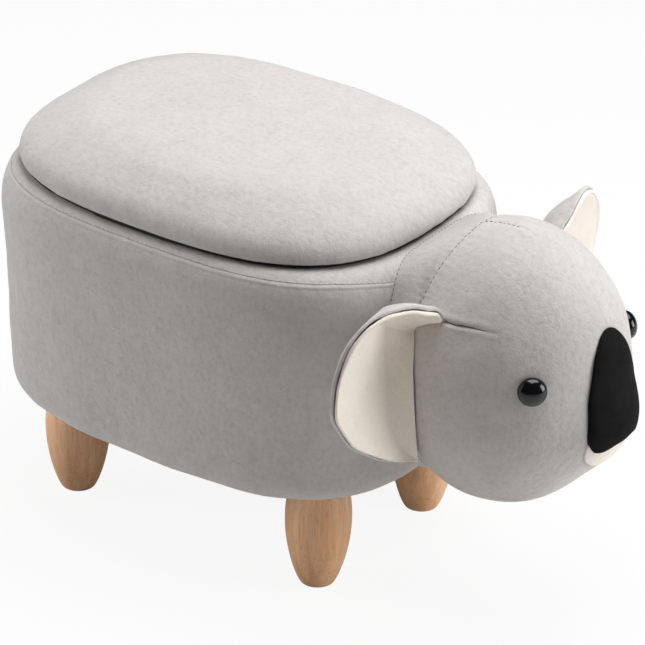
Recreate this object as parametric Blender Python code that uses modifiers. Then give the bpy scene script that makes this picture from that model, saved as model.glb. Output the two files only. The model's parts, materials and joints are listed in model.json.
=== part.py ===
"""Storage footstool in the shape of a koala.

A padded oval box stands on four turned legs and is closed by a hinged cushion lid. A stuffed head
with ears, eyes and a nose is fixed to its front end.
Units are metres, +Z is up and +X points from the tail end towards the head. The origin is on the
floor, under the middle of the overall box.
"""

import math

import bmesh
import bpy
from mathutils import Matrix, Vector

# Clearances and cloth
GAP = 0.0003
CUT_OVERRUN = 0.010
FABRIC = 0.0020
LINING_CLOTH = 0.0010

# Legs
LEG_HEIGHT = 0.108
LEG_FOOT_RADIUS = 0.016
LEG_BELLY_RADIUS = 0.0325
LEG_TOP_RADIUS = 0.028
LEG_BELLY_HEIGHT = 0.066
LEG_END_INSET = 0.085
LEG_SIDE_INSET = 0.0921
LEG_BOLT_RADIUS = 0.004
LEG_BOLT_DEPTH = 0.032
LEG_NUT_BARREL_WALL = 0.0012
LEG_NUT_FLANGE_RADIUS = 0.011
LEG_NUT_FLANGE = 0.0015

# Box
BODY_LENGTH = 0.460
BODY_WIDTH = 0.3586
BODY_HEIGHT = 0.2434
BODY_POWER = 3.05
BODY_OFFSET_X = -0.0034
BODY_TAPER = 0.0075
UNDERSIDE_RADIUS = 0.0253
SHOULDER_INSET = 0.022
SHOULDER_HEIGHT = 0.041
SHOULDER_POWER = 2.4
SEAM_DROP = 0.006
HEM_WIDTH = 0.012
PADDING = 0.019
WALL = 0.005
WALL_LIFT = 0.002
BASE_BOARD = 0.012
RIM_WIDTH = 0.046
RIM_BOARD = 0.015
RIM_TURN_IN = 0.022
BOTTOM_CLOTH_MARGIN = 0.006

# Hinges
HINGE_SPACING = 0.150
HINGE_WIDTH = 0.050
HINGE_LEAF = 0.0015
HINGE_OFFSET = 0.002
HINGE_MARGIN = 0.008
KNUCKLE_RADIUS = 0.003
KNUCKLE_COUNT = 3
PIN_RADIUS = 0.0012
PIN_HEAD = 0.0010
SCREW_RADIUS = 0.0015
SCREW_HEAD_RADIUS = 0.003
SCREW_LENGTH = 0.012
SCREW_SPACING = 0.032

# Lid
LID_SIDE_INSET = 0.0093
LID_REAR_INSET = 0.0091
LID_FRONT_INSET = 0.0187
LID_HEIGHT = 0.048
LID_POWER = 2.77
LID_EDGE_RADIUS = 0.007
LID_CROWN_INSET = 0.090
LID_CROWN_POWER = 2.2
LID_CROWN_RISE = 0.0015
LID_CROWN_CENTRE_SHARE = 0.8
LID_HEM_WIDTH = 0.035
LID_BOARD = 0.009
LID_BOARD_INSET = 0.010
LID_PANEL_INSET = 0.012

# Head and neck
HEAD_LENGTH = 0.2348
HEAD_WIDTH = 0.218
HEAD_HEIGHT = 0.2776
HEAD_REACH = 0.0655
HEAD_RISE = 0.1412
COLLAR_OFFSET = 0.0461
MUZZLE_WIDTH = 0.180
MUZZLE_HEIGHT = 0.120
MUZZLE_DROP = 0.041
MUZZLE_RISE = 0.011
NECK_WIDTH = 0.180
NECK_HEIGHT = 0.2036
NECK_SINK = 0.0216
NECK_POWER = 4.5
NECK_FLARE_SHARE = 0.3
HEAD_BOARD = 0.009
HEAD_BOARD_RADIUS = 0.060
HEAD_SCREW_RADIUS = 0.003
HEAD_SCREW_HEAD_RADIUS = 0.006
HEAD_SCREW_HEAD = 0.003
HEAD_SCREW_SPACING = 0.080
HEAD_SCREW_BITE = 0.0075

# Ears
EAR_SPREAD = 0.1092
EAR_HEIGHT = 0.187
EAR_SWEEP = 0.045
EAR_CUP = 0.022
EAR_CUP_SKEW = 0.61
EAR_CUP_TURN = math.radians(14)
EAR_BACK = 0.0040
EAR_LINING = 0.0030
EAR_SEAT = 0.0004
EAR_END_SHARE = 0.5
EAR_FADE_SHARE = 0.2

# Nose and chin
NOSE_WIDTH = 0.083
NOSE_HEIGHT = 0.118
NOSE_RISE = 0.0082
NOSE_PAD = 0.0060
NOSE_EDGE = 0.0030
CHIN_WIDTH = 0.066
CHIN_HEIGHT = 0.050
CHIN_DROP = 0.0028
CHIN_PAD = 0.0028
CHIN_EDGE = 0.0012
PATCH_SEAT = 0.0009

# Eyes
EYE_RADIUS = 0.014
EYE_DOME = 0.0095
EYE_EDGE = 0.001
EYE_BACK_SHARE = 0.93
EYE_STEM_RADIUS = 0.0022
EYE_STEM_LENGTH = 0.014
EYE_WASHER_RADIUS = 0.008
EYE_WASHER = 0.0015
EYE_AZIMUTH = math.radians(48)
EYE_ELEVATION = math.radians(11.5)

# Facets
OVAL_STEPS = 40
HEAD_STEPS = 28
LEG_STEPS = 18
EAR_STEPS = 16
ROUND_STEPS = 8
DISC_STEPS = 20

# Outline tables, as shares of the sizes named with them
PATCH_SHARES = (0.04, 0.35, 0.65, 0.87, 1.0)
EAR_ROW_SHARES = (0.0, 0.2, 0.4, 0.6, 0.8, 0.965, 1.0)
EAR_RIM_SHARES = (
    (-0.302, -0.162, 0.397),
    (-0.224, -0.046, 0.482),
    (-0.224, 0.082, 0.53),
    (-0.291, 0.275, 0.598),
    (-0.36, 0.435, 0.626),
    (-0.462, 0.586, 0.621),
    (-0.589, 0.753, 0.58),
    (-0.713, 0.883, 0.502),
    (-0.811, 0.958, 0.406),
    (-0.904, 1.0, 0.274),
    (-0.987, 0.996, 0.103),
    (-1.0, 0.926, -0.013),
    (-0.962, 0.763, -0.15),
    (-0.882, 0.592, -0.212),
    (-0.78, 0.342, -0.275),
    (-0.78, 0.027, -0.347),
    (-0.824, -0.183, -0.379),
)
EAR_ROOT_SHARES = (
    (-0.302, -0.162, 0.397),
    (-0.669, -0.165, 0.365),
    (-1.002, -0.174, 0.306),
    (-0.898, -0.114, 0.232),
    (-0.773, -0.049, 0.065),
    (-0.742, -0.066, -0.159),
    (-0.842, -0.198, -0.373),
)
NOSE_OUTLINE_SHARES = (
    (0.0, 1.0),
    (0.24, 0.98),
    (0.42, 0.84),
    (0.63, 0.59),
    (0.78, 0.28),
    (0.91, -0.12),
    (1.0, -0.55),
    (0.98, -0.73),
    (0.86, -0.88),
    (0.64, -0.97),
    (0.3, -1.0),
    (0.0, -1.0),
)

# Levels worked out from the sizes above
CLOTH_BOTTOM = LEG_HEIGHT + GAP
BODY_BOTTOM = CLOTH_BOTTOM + LINING_CLOTH + GAP
BODY_TOP = BODY_BOTTOM + BODY_HEIGHT
SHOULDER_START = BODY_TOP - SHOULDER_HEIGHT
BASE_BOTTOM = BODY_BOTTOM + FABRIC + GAP
BASE_TOP = BASE_BOTTOM + BASE_BOARD
WALL_BOTTOM = BASE_BOTTOM + WALL_LIFT
FRAME_TOP = BODY_TOP - FABRIC - GAP
WALL_INSET = FABRIC + GAP + PADDING + GAP
BOARD_INSET = WALL_INSET + WALL + GAP
RIM_BOARD_INNER = RIM_WIDTH - FABRIC - GAP
LID_PANEL = 2 * HINGE_LEAF + GAP
LID_BOTTOM = BODY_TOP + GAP + LID_PANEL + GAP
LID_TOP = LID_BOTTOM + LID_HEIGHT
LID_BOARD_BOTTOM = LID_BOTTOM + FABRIC + GAP
LID_BOARD_TOP = LID_BOARD_BOTTOM + LID_BOARD
BODY_FRONT = BODY_OFFSET_X + BODY_LENGTH / 2
LEG_SPACING_X = BODY_LENGTH - 2 * LEG_END_INSET
LEG_SPACING_Y = BODY_WIDTH - 2 * LEG_SIDE_INSET
LID_LENGTH = BODY_LENGTH - LID_REAR_INSET - LID_FRONT_INSET
LID_WIDTH = BODY_WIDTH - 2 * LID_SIDE_INSET
LID_OFFSET_X = BODY_OFFSET_X + (LID_REAR_INSET - LID_FRONT_INSET) / 2
HEAD_CENTRE = Vector((BODY_FRONT + HEAD_REACH, 0, BODY_BOTTOM + HEAD_RISE))
COLLAR_X = HEAD_CENTRE.x - COLLAR_OFFSET
NECK_ROOT_X = BODY_FRONT - NECK_SINK
HINGE_AXIS = Vector((0, LID_WIDTH / 2 + HINGE_OFFSET, BODY_TOP + GAP + HINGE_LEAF + GAP / 2))

PARTS = bpy.data.collections.new("koala_footstool")
CUTTERS = bpy.data.collections.new("cutters")


def material(name, colour, roughness, metallic=0.0):
    """A Principled material in one colour."""
    made = bpy.data.materials.new(name)
    made.use_nodes = True
    shader = made.node_tree.nodes["Principled BSDF"]
    shader.inputs["Base Color"].default_value = (*colour, 1.0)
    shader.inputs["Roughness"].default_value = roughness
    shader.inputs["Metallic"].default_value = metallic
    made.diffuse_color = (*colour, 1.0)
    return made


def empty(name, place, parent=None):
    """An empty that carries other objects."""
    made = bpy.data.objects.new(name, None)
    made.location = place
    made.parent = parent
    PARTS.objects.link(made)
    return made


def add(name, mesh, place=(0, 0, 0), parent=None, slot=None, cutter=False):
    """A named object from a mesh, placed in the frame that its parent's origin stands in."""
    made = bpy.data.objects.new(name, mesh)
    made.parent = parent
    origin = parent.location if parent is LID_AXIS else Vector((0, 0, 0))
    made.location = Vector(place) - origin
    (CUTTERS if cutter else PARTS).objects.link(made)
    if slot is not None:
        mesh.materials.append(slot)
    if cutter:
        made.hide_render = True
        made.display_type = "WIRE"
        made.parent = STOOL
    return made


def smooth(made, angle=math.radians(38)):
    """Shade a piece smooth, with its hard edges kept sharp."""
    made.data.shade_smooth()
    made.data.set_sharp_from_angle(angle=angle)
    return made


def subtract(target, cutter, operation="DIFFERENCE"):
    """An exact Boolean of one object with another."""
    modifier = target.modifiers.new("cut by " + cutter.name, "BOOLEAN")
    modifier.operation = operation
    modifier.solver = "EXACT"
    modifier.object = cutter
    return target


def thicken(made, thickness, side=-1):
    """Give an open surface its thickness on one side."""
    modifier = made.modifiers.new("thickness", "SOLIDIFY")
    modifier.thickness = thickness
    modifier.offset = side
    modifier.use_even_offset = True
    return made


def skin(rings, cap_start=False, cap_end=False, closed=False, plate=False):
    """Quads between rings of equal count, with flat caps where they are asked for.

    A plate's quads are split so that its two sides, which are half a ring each, match.
    """
    mesh = bpy.data.meshes.new("skin")
    work = bmesh.new()
    made = [[work.verts.new(point) for point in ring] for ring in rings]
    pairs = list(zip(made, made[1:]))
    if closed:
        pairs.append((made[-1], made[0]))
    for low, high in pairs:
        for index in range(len(low)):
            after = (index + 1) % len(low)
            corners = (low[index], low[after], high[after], high[index])
            if not plate:
                work.faces.new(corners)
            elif index < len(low) // 2:
                work.faces.new(corners[:3])
                work.faces.new((corners[0], corners[2], corners[3]))
            else:
                work.faces.new((corners[0], corners[1], corners[3]))
                work.faces.new(corners[1:])
    if cap_start:
        work.faces.new(list(reversed(made[0])))
    if cap_end:
        work.faces.new(made[-1])
    work.to_mesh(mesh)
    work.free()
    return mesh


def turned_mesh(profile, closed=False):
    """A profile of (radius, height) points in the XZ plane, to be spun about Z."""
    mesh = bpy.data.meshes.new("profile")
    points = [(radius, 0, height) for radius, height in profile]
    edges = [(index, index + 1) for index in range(len(points) - 1)]
    if closed:
        edges.append((len(points) - 1, 0))
    mesh.from_pydata(points, edges, [])
    return mesh


def turned(name, profile, place, slot, parent, steps=ROUND_STEPS, closed=False, aim=None):
    """A turned piece; the profile runs down its outer side, and aim turns +Z to a direction."""
    made = add(name, turned_mesh(profile, closed), place, parent, slot)
    spin = made.modifiers.new("turned", "SCREW")
    spin.axis = "Z"
    spin.angle = 2 * math.pi
    spin.steps = steps
    spin.render_steps = steps
    spin.use_smooth_shade = True
    spin.use_merge_vertices = True
    spin.merge_threshold = GAP / 10
    if aim is not None:
        made.rotation_euler = Vector(aim).to_track_quat("Z", "Y").to_euler()
    return made


def round_cutter(name, radius, start, end, steps=ROUND_STEPS):
    """A cylinder that cuts a round hole between two points."""
    start, end = Vector(start), Vector(end)
    mesh = bpy.data.meshes.new(name)
    work = bmesh.new()
    bmesh.ops.create_cone(
        work, cap_ends=True, segments=steps, radius1=radius, radius2=radius, depth=(end - start).length
    )
    work.to_mesh(mesh)
    work.free()
    made = add(name, mesh, (start + end) / 2, cutter=True)
    made.rotation_euler = (end - start).to_track_quat("Z", "Y").to_euler()
    return made


def block_mesh(low, high):
    """A box between two corners, with its mesh about the box's own centre."""
    low, high = Vector(low), Vector(high)
    mesh = bpy.data.meshes.new("block")
    work = bmesh.new()
    bmesh.ops.create_cube(work, size=1.0)
    bmesh.ops.scale(work, vec=high - low, verts=work.verts)
    work.to_mesh(mesh)
    work.free()
    return mesh, (low + high) / 2


def block_cutter(name, low, high):
    """A box that cuts."""
    mesh, centre = block_mesh(low, high)
    return add(name, mesh, centre, cutter=True)


def signed_power(value, power):
    """A power that keeps the sign of its base."""
    return math.copysign(abs(value) ** power, value)


def oval(half_length, half_width, power, count=OVAL_STEPS):
    """Points of a superellipse."""
    points = []
    for step in range(count):
        angle = 2 * math.pi * step / count
        along = half_length * signed_power(math.cos(angle), 2 / power)
        across = half_width * signed_power(math.sin(angle), 2 / power)
        points.append((along, across))
    return points


def rounded(width, height, power, angle):
    """A point of a rounded corner: how far in and how far up it is at an angle from its start."""
    return (
        width * (1 - math.cos(angle) ** (2 / power)),
        height * math.sin(angle) ** (2 / power),
    )


def shrunk(profile, distance):
    """A profile moved by a distance to its inner side, which lies right of its direction."""
    moved = []
    for index, point in enumerate(profile):
        normals = []
        for start, end in ((index - 1, index), (index, index + 1)):
            if start < 0 or end >= len(profile):
                continue
            run = Vector(profile[end]) - Vector(profile[start])
            run.normalize()
            normals.append(Vector((run.y, -run.x)))
        if len(normals) == 1:
            shift = normals[0]
        else:
            shift = (normals[0] + normals[1]) / (1 + normals[0].dot(normals[1]))
        moved.append(tuple(Vector(point) + shift * distance))
    return moved


def taper(height):
    """How far the box's side is drawn in at a height below its shoulder."""
    drop = max(0.0, SHOULDER_START - height)
    return BODY_TAPER * drop / (SHOULDER_START - BODY_BOTTOM)


def body_ring(inset, height):
    """The box's outline at a height, drawn in by an inset."""
    inset = inset + taper(height)
    outline = oval(BODY_LENGTH / 2 - inset, BODY_WIDTH / 2 - inset, BODY_POWER)
    return [(x, y, height) for x, y in outline]


def lid_ring(inset, height):
    """The lid's outline, drawn in by an inset."""
    outline = oval(LID_LENGTH / 2 - inset, LID_WIDTH / 2 - inset, LID_POWER)
    return [(x, y, height) for x, y in outline]


def underside_corner(steps=4):
    """The rounded lower edge of the box, from below to its side."""
    points = []
    for step in range(steps + 1):
        angle = math.pi / 2 * step / steps
        inset = UNDERSIDE_RADIUS * (1 - math.sin(angle))
        points.append((inset, BODY_BOTTOM + UNDERSIDE_RADIUS * (1 - math.cos(angle))))
    return points


def shoulder_point(angle):
    """A point of the soft upper edge of the box."""
    inset, rise = rounded(SHOULDER_INSET, SHOULDER_HEIGHT, SHOULDER_POWER, angle)
    return inset, SHOULDER_START + rise


def shoulder_angle(height):
    """The angle at which the shoulder reaches a height."""
    share = (height - SHOULDER_START) / SHOULDER_HEIGHT
    return math.asin(share ** (SHOULDER_POWER / 2))


def box_profile():
    """The box's whole outer profile from its hem to inside the rim, and the seam's place in it."""
    seam_angle = shoulder_angle(BODY_TOP - SEAM_DROP)
    points = [(UNDERSIDE_RADIUS + HEM_WIDTH, BODY_BOTTOM)] + underside_corner()
    points += [shoulder_point(seam_angle * step / 3) for step in range(4)]
    seam = len(points) - 1
    points += [shoulder_point((seam_angle + math.pi / 2) / 2), shoulder_point(math.pi / 2)]
    points += [(RIM_WIDTH, BODY_TOP), (RIM_WIDTH, BODY_TOP - RIM_TURN_IN)]
    return points, seam


def cloth_section(below):
    """A closed section of the box's fabric below or above the seam, short of it by half a gap."""
    outer, seam = box_profile()
    inner = shrunk(outer, FABRIC)
    across = Vector(inner[seam]) - Vector(outer[seam])
    along = Vector((-across.y, across.x)).normalized() * (-GAP / 2 if below else GAP / 2)
    for line in (outer, inner):
        line[seam] = tuple(Vector(line[seam]) + along)
    part = slice(0, seam + 1) if below else slice(seam, None)
    return outer[part] + inner[part][::-1]


def front_x(inset, height):
    """The box's front end on the middle plane, at an inset and a height."""
    return BODY_FRONT - inset - taper(height)


BODY_PLACE = (BODY_OFFSET_X, 0, 0)
LID_PLACE = (LID_OFFSET_X, 0, 0)
LEG_PLACES = {
    "front_right": Vector((LEG_SPACING_X / 2, -LEG_SPACING_Y / 2, 0)),
    "front_left": Vector((LEG_SPACING_X / 2, LEG_SPACING_Y / 2, 0)),
    "rear_right": Vector((-LEG_SPACING_X / 2, -LEG_SPACING_Y / 2, 0)),
    "rear_left": Vector((-LEG_SPACING_X / 2, LEG_SPACING_Y / 2, 0)),
}
HEAD_SCREW_HEIGHTS = {
    "upper": HEAD_CENTRE.z + HEAD_SCREW_SPACING / 2,
    "lower": HEAD_CENTRE.z - HEAD_SCREW_SPACING / 2,
}
SIDES = {"right": -1, "left": 1}


def body_loft(name, profile, slot, closed=False, caps=False, cutter=False):
    """A ring-shaped or solid piece of the box from its (inset, height) profile."""
    rings = [body_ring(inset, height) for inset, height in profile]
    mesh = skin(rings, cap_start=caps, cap_end=caps, closed=closed)
    return smooth(add(name, mesh, BODY_PLACE, STOOL, slot, cutter))


def base_board():
    """The plywood floor of the box, with a counterbored hole at each leg."""
    made = body_loft(
        "base_board", [(BOARD_INSET, BASE_BOTTOM), (BOARD_INSET, BASE_TOP)], PLYWOOD, caps=True
    )
    for name, place in LEG_PLACES.items():
        low = place + Vector((0, 0, BASE_BOTTOM - CUT_OVERRUN))
        high = place + Vector((0, 0, BASE_TOP + CUT_OVERRUN))
        seat = place + Vector((0, 0, BASE_TOP - LEG_NUT_FLANGE - GAP))
        barrel = LEG_BOLT_RADIUS + GAP + LEG_NUT_BARREL_WALL + GAP
        subtract(made, round_cutter("nut_hole_" + name, barrel, low, high))
        subtract(made, round_cutter("nut_seat_" + name, LEG_NUT_FLANGE_RADIUS + GAP, seat, high))
    return made


def wall_shell():
    """The bent plywood wall of the box, drawn in towards the floor."""
    inner = WALL_INSET + WALL
    made = body_loft(
        "wall_shell",
        [
            (WALL_INSET, WALL_BOTTOM),
            (WALL_INSET, SHOULDER_START),
            (WALL_INSET, FRAME_TOP),
            (inner, FRAME_TOP),
            (inner, SHOULDER_START),
            (inner, WALL_BOTTOM),
        ],
        PLYWOOD,
        closed=True,
    )
    return cut_head_screw_holes(made)


def rim_ring():
    """The plywood ring inside the wall's top, which takes the hinge screws and the lid's load."""
    low = FRAME_TOP - RIM_BOARD
    made = body_loft(
        "rim_ring",
        [
            (BOARD_INSET, low),
            (BOARD_INSET, FRAME_TOP),
            (RIM_BOARD_INNER, FRAME_TOP),
            (RIM_BOARD_INNER, low),
        ],
        PLYWOOD,
        closed=True,
    )
    return cut_hinge_screw_holes(made, "body")


def side_padding():
    """The foam between the wall and the cover, thick at the side and thin at the rounded edges."""
    outer = shrunk(box_profile()[0], FABRIC + GAP)[2:-3]
    inner = WALL_INSET - GAP
    top = (inner, FRAME_TOP - GAP)
    low = (inner, outer[0][1])
    profile = outer + [top, (inner, SHOULDER_START), low]
    made = body_loft("side_padding", profile, FOAM, closed=True)
    return cut_head_screw_holes(made)


def body_cover():
    """The grey fabric of the box's side, turned under the base and sewn to the rim facing."""
    made = body_loft("body_cover", cloth_section(below=True), GREY_FABRIC, closed=True)
    return cut_head_screw_holes(made)


def rim_facing():
    """The fabric strip above the side seam, drawn over the rim and turned down inside it."""
    made = body_loft("rim_facing", cloth_section(below=False), GREY_FABRIC, closed=True)
    return cut_hinge_screw_holes(made, "body")


def storage_lining():
    """The black cloth cup that lines the storage space, below the rim ring."""
    rings = [
        body_ring(BOARD_INSET, height)
        for height in (BASE_TOP + GAP, SHOULDER_START, FRAME_TOP - RIM_BOARD - GAP)
    ]
    mesh = skin(rings, cap_start=True)
    made = smooth(add("storage_lining", mesh, BODY_PLACE, STOOL, BLACK_CLOTH))
    return cut_head_screw_holes(thicken(made, LINING_CLOTH))


def bottom_cloth():
    """The black cloth over the hem on the underside, with a hole for each leg's bolt."""
    inset = UNDERSIDE_RADIUS + BOTTOM_CLOTH_MARGIN
    top = CLOTH_BOTTOM + LINING_CLOTH
    made = body_loft("bottom_cloth", [(inset, CLOTH_BOTTOM), (inset, top)], BLACK_CLOTH, caps=True)
    for name, place in LEG_PLACES.items():
        low = place + Vector((0, 0, CLOTH_BOTTOM - CUT_OVERRUN))
        high = place + Vector((0, 0, top + CUT_OVERRUN))
        subtract(made, round_cutter("cloth_hole_" + name, LEG_BOLT_RADIUS + GAP, low, high))
    return made


def leg_radius(height):
    """The turned leg's radius: a full belly that narrows fast to the foot and a little to the top."""
    if height <= LEG_BELLY_HEIGHT:
        share = math.sin(math.pi / 2 * height / LEG_BELLY_HEIGHT) ** 0.55
        return LEG_FOOT_RADIUS + (LEG_BELLY_RADIUS - LEG_FOOT_RADIUS) * share
    share = math.cos(math.pi / 2 * (height - LEG_BELLY_HEIGHT) / (LEG_HEIGHT - LEG_BELLY_HEIGHT))
    return LEG_TOP_RADIUS + (LEG_BELLY_RADIUS - LEG_TOP_RADIUS) * share


def leg_profile(lower=7, upper=3):
    """The leg's section, from the floor of its bolt hole to the middle of its foot."""
    hole = LEG_BOLT_RADIUS + GAP
    floor = LEG_HEIGHT - LEG_BOLT_DEPTH - GAP
    points = [(0, floor), (hole, floor), (hole, LEG_HEIGHT)]
    for step in range(upper):
        height = LEG_HEIGHT + (LEG_BELLY_HEIGHT - LEG_HEIGHT) * step / upper
        points.append((leg_radius(height), height))
    for step in range(lower + 1):
        height = LEG_BELLY_HEIGHT * (1 - step / lower) ** 1.8
        points.append((leg_radius(height), height))
    return points + [(0, 0)]


def legs():
    """Four turned wooden legs, each on a hanger bolt that screws into a nut in the base board."""
    bolt_low = LEG_HEIGHT - LEG_BOLT_DEPTH
    bolt = [(0, BASE_TOP), (LEG_BOLT_RADIUS, BASE_TOP), (LEG_BOLT_RADIUS, bolt_low), (0, bolt_low)]
    bore = LEG_BOLT_RADIUS + GAP
    barrel = bore + LEG_NUT_BARREL_WALL
    flange_low = BASE_TOP - LEG_NUT_FLANGE
    nut = [
        (bore, BASE_TOP),
        (LEG_NUT_FLANGE_RADIUS, BASE_TOP),
        (LEG_NUT_FLANGE_RADIUS, flange_low),
        (barrel, flange_low),
        (barrel, BASE_BOTTOM + GAP),
        (bore, BASE_BOTTOM + GAP),
    ]
    for name, place in LEG_PLACES.items():
        smooth(turned("leg_" + name, leg_profile(), place, WOOD, STOOL, LEG_STEPS))
        turned("leg_bolt_" + name, bolt, place, STEEL, STOOL)
        turned("leg_nut_" + name, nut, place, STEEL, STOOL, closed=True)


def cut_head_screw_holes(made):
    """Holes through a wall piece for the screws that hold the head."""
    for name, height in HEAD_SCREW_HEIGHTS.items():
        start = (front_x(RIM_WIDTH, height), 0, height)
        end = (BODY_FRONT + CUT_OVERRUN, 0, height)
        cutter = round_cutter(
            "head_screw_hole_" + name + "_in_" + made.name, HEAD_SCREW_RADIUS + GAP, start, end
        )
        subtract(made, cutter)
    return made


def hinge_places():
    """The middle of each hinge along the back edge."""
    return {
        "rear": BODY_OFFSET_X - HINGE_SPACING / 2,
        "front": BODY_OFFSET_X + HINGE_SPACING / 2,
    }


def hinge_screw_y():
    """The middle of the rim ring's width, where the hinges stand."""
    inset = (BOARD_INSET + RIM_BOARD_INNER) / 2
    half_length = BODY_LENGTH / 2 - inset
    share = 1 - (HINGE_SPACING / 2 / half_length) ** BODY_POWER
    return (BODY_WIDTH / 2 - inset) * share ** (1 / BODY_POWER)


def hinge_screws():
    """The place and direction of each hinge screw: its head's face and the way it drives."""
    places = {}
    for hinge, middle in hinge_places().items():
        for index, side in enumerate((-1, 1)):
            x = middle + side * SCREW_SPACING / 2
            name = hinge + "_" + str(index + 1)
            low_face = BODY_TOP + GAP + HINGE_LEAF
            high_face = low_face + GAP
            places["body", hinge, name] = (Vector((x, hinge_screw_y(), low_face)), -1)
            places["lid", hinge, name] = (Vector((x, hinge_screw_y(), high_face)), 1)
    return places


def cut_hinge_screw_holes(made, side, hinge=None, radius=SCREW_RADIUS + GAP):
    """Holes in a piece for the hinge screws of one side."""
    for (owner, place, name), (face, way) in hinge_screws().items():
        if owner != side or (hinge is not None and place != hinge):
            continue
        start = face - Vector((0, 0, way * CUT_OVERRUN))
        end = face + Vector((0, 0, way * (SCREW_LENGTH + GAP)))
        subtract(made, round_cutter("hole_" + name + "_in_" + made.name, radius, start, end))
    return made


def add_hinge_screws():
    """The countersunk screws of both hinges."""
    profile = [
        (0, 0),
        (SCREW_HEAD_RADIUS, 0),
        (SCREW_RADIUS, -HINGE_LEAF),
        (SCREW_RADIUS, -SCREW_LENGTH),
        (0, -SCREW_LENGTH),
    ]
    for (owner, _, name), (face, way) in hinge_screws().items():
        parent = LID_AXIS if owner == "lid" else STOOL
        aim = (0, 0, -way)
        turned("hinge_screw_" + owner + "_" + name, profile, face, STEEL, parent, aim=aim)


def hinge_leaf(owner, hinge, middle):
    """One leaf: a plate under the lid or on the rim, rolled into its share of the knuckles."""
    low = BODY_TOP + GAP if owner == "body" else BODY_TOP + GAP + HINGE_LEAF + GAP
    high = low + HINGE_LEAF
    inner = hinge_screw_y() - HINGE_MARGIN
    outer = HINGE_AXIS.y - KNUCKLE_RADIUS - GAP
    half = HINGE_WIDTH / 2
    parent = LID_AXIS if owner == "lid" else STOOL
    mesh, centre = block_mesh((middle - half, inner, low), (middle + half, outer, high))
    made = add("hinge_leaf_" + owner + "_" + hinge, mesh, centre, parent, STEEL)
    pitch = HINGE_WIDTH / KNUCKLE_COUNT
    for index in range(KNUCKLE_COUNT):
        if (index % 2 == 0) != (owner == "body"):
            continue
        start = middle - half + pitch * index + (GAP / 2 if index else 0)
        end = middle - half + pitch * (index + 1) - (GAP / 2 if index < KNUCKLE_COUNT - 1 else 0)
        label = "_".join((owner, hinge, str(index)))
        tab = block_cutter(
            "tab_" + label, (start, outer - HINGE_LEAF, low), (end, HINGE_AXIS.y, high)
        )
        subtract(made, tab, "UNION")
        knuckle = round_cutter(
            "knuckle_" + label,
            KNUCKLE_RADIUS,
            (start, HINGE_AXIS.y, HINGE_AXIS.z),
            (end, HINGE_AXIS.y, HINGE_AXIS.z),
        )
        subtract(made, knuckle, "UNION")
    bore = round_cutter(
        "bore_" + owner + "_" + hinge,
        PIN_RADIUS + GAP,
        (middle - half - CUT_OVERRUN, HINGE_AXIS.y, HINGE_AXIS.z),
        (middle + half + CUT_OVERRUN, HINGE_AXIS.y, HINGE_AXIS.z),
    )
    subtract(made, bore)
    for (side, place, name), (face, way) in hinge_screws().items():
        if side == owner and place == hinge:
            subtract(made, countersink("sink_" + side + "_" + name, face, way))
    return made


def countersink(name, face, way):
    """A cone with its shank hole, which seats a screw's head flush in a leaf."""
    top = SCREW_HEAD_RADIUS + GAP
    bottom = SCREW_RADIUS + GAP
    profile = [
        (0, CUT_OVERRUN),
        (top, CUT_OVERRUN),
        (top, 0),
        (bottom, -HINGE_LEAF),
        (bottom, -HINGE_LEAF - GAP),
        (0, -HINGE_LEAF - GAP),
    ]
    made = turned(name, profile, face, None, STOOL, aim=(0, 0, -way))
    PARTS.objects.unlink(made)
    CUTTERS.objects.link(made)
    made.hide_render = True
    made.display_type = "WIRE"
    return made


def hinges():
    """Two butt hinges along the back edge, each with its pin."""
    reach = HINGE_WIDTH / 2 + GAP
    head = PIN_RADIUS + 2 * GAP
    pin = [
        (0, reach + PIN_HEAD),
        (head, reach + PIN_HEAD),
        (head, reach),
        (PIN_RADIUS, reach),
        (PIN_RADIUS, -reach),
        (0, -reach),
    ]
    for hinge, middle in hinge_places().items():
        hinge_leaf("body", hinge, middle)
        hinge_leaf("lid", hinge, middle)
        place = (middle, HINGE_AXIS.y, HINGE_AXIS.z)
        turned("hinge_pin_" + hinge, pin, place, STEEL, STOOL, aim=(1, 0, 0))
    add_hinge_screws()


def lid_profile(steps=6):
    """The lid's outer profile from its hem, round the lower edge and up over the crown."""
    points = [(LID_EDGE_RADIUS + LID_HEM_WIDTH, LID_BOTTOM)]
    for step in range(3):
        angle = math.pi / 2 * step / 3
        inset = LID_EDGE_RADIUS * (1 - math.sin(angle))
        points.append((inset, LID_BOTTOM + LID_EDGE_RADIUS * (1 - math.cos(angle))))
    start = LID_BOTTOM + LID_EDGE_RADIUS
    height = LID_TOP - LID_CROWN_RISE - start
    for step in range(steps + 1):
        angle = math.pi / 2 * step / steps
        inset, rise = rounded(LID_CROWN_INSET, height, LID_CROWN_POWER, angle)
        points.append((inset, start + rise))
    return points


def lid_loft(name, profile, slot, closed=False, caps=(False, False)):
    """A piece of the lid from its (inset, height) profile."""
    rings = [lid_ring(inset, height) for inset, height in profile]
    mesh = skin(rings, cap_start=caps[0], cap_end=caps[1], closed=closed)
    mesh.transform(Matrix.Translation((LID_OFFSET_X, -HINGE_AXIS.y, -HINGE_AXIS.z)))
    made = add(name, mesh, HINGE_AXIS, LID_AXIS, slot)
    return smooth(made)


def lid_board():
    """The plywood board that carries the cushion."""
    made = lid_loft(
        "lid_board",
        [(LID_BOARD_INSET, LID_BOARD_BOTTOM), (LID_BOARD_INSET, LID_BOARD_TOP)],
        PLYWOOD,
        caps=(True, True),
    )
    return cut_hinge_screw_holes(made, "lid")


def crown_centre():
    """The innermost ring of the crown, which closes its top."""
    return LID_WIDTH / 2 * LID_CROWN_CENTRE_SHARE, LID_TOP


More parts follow.
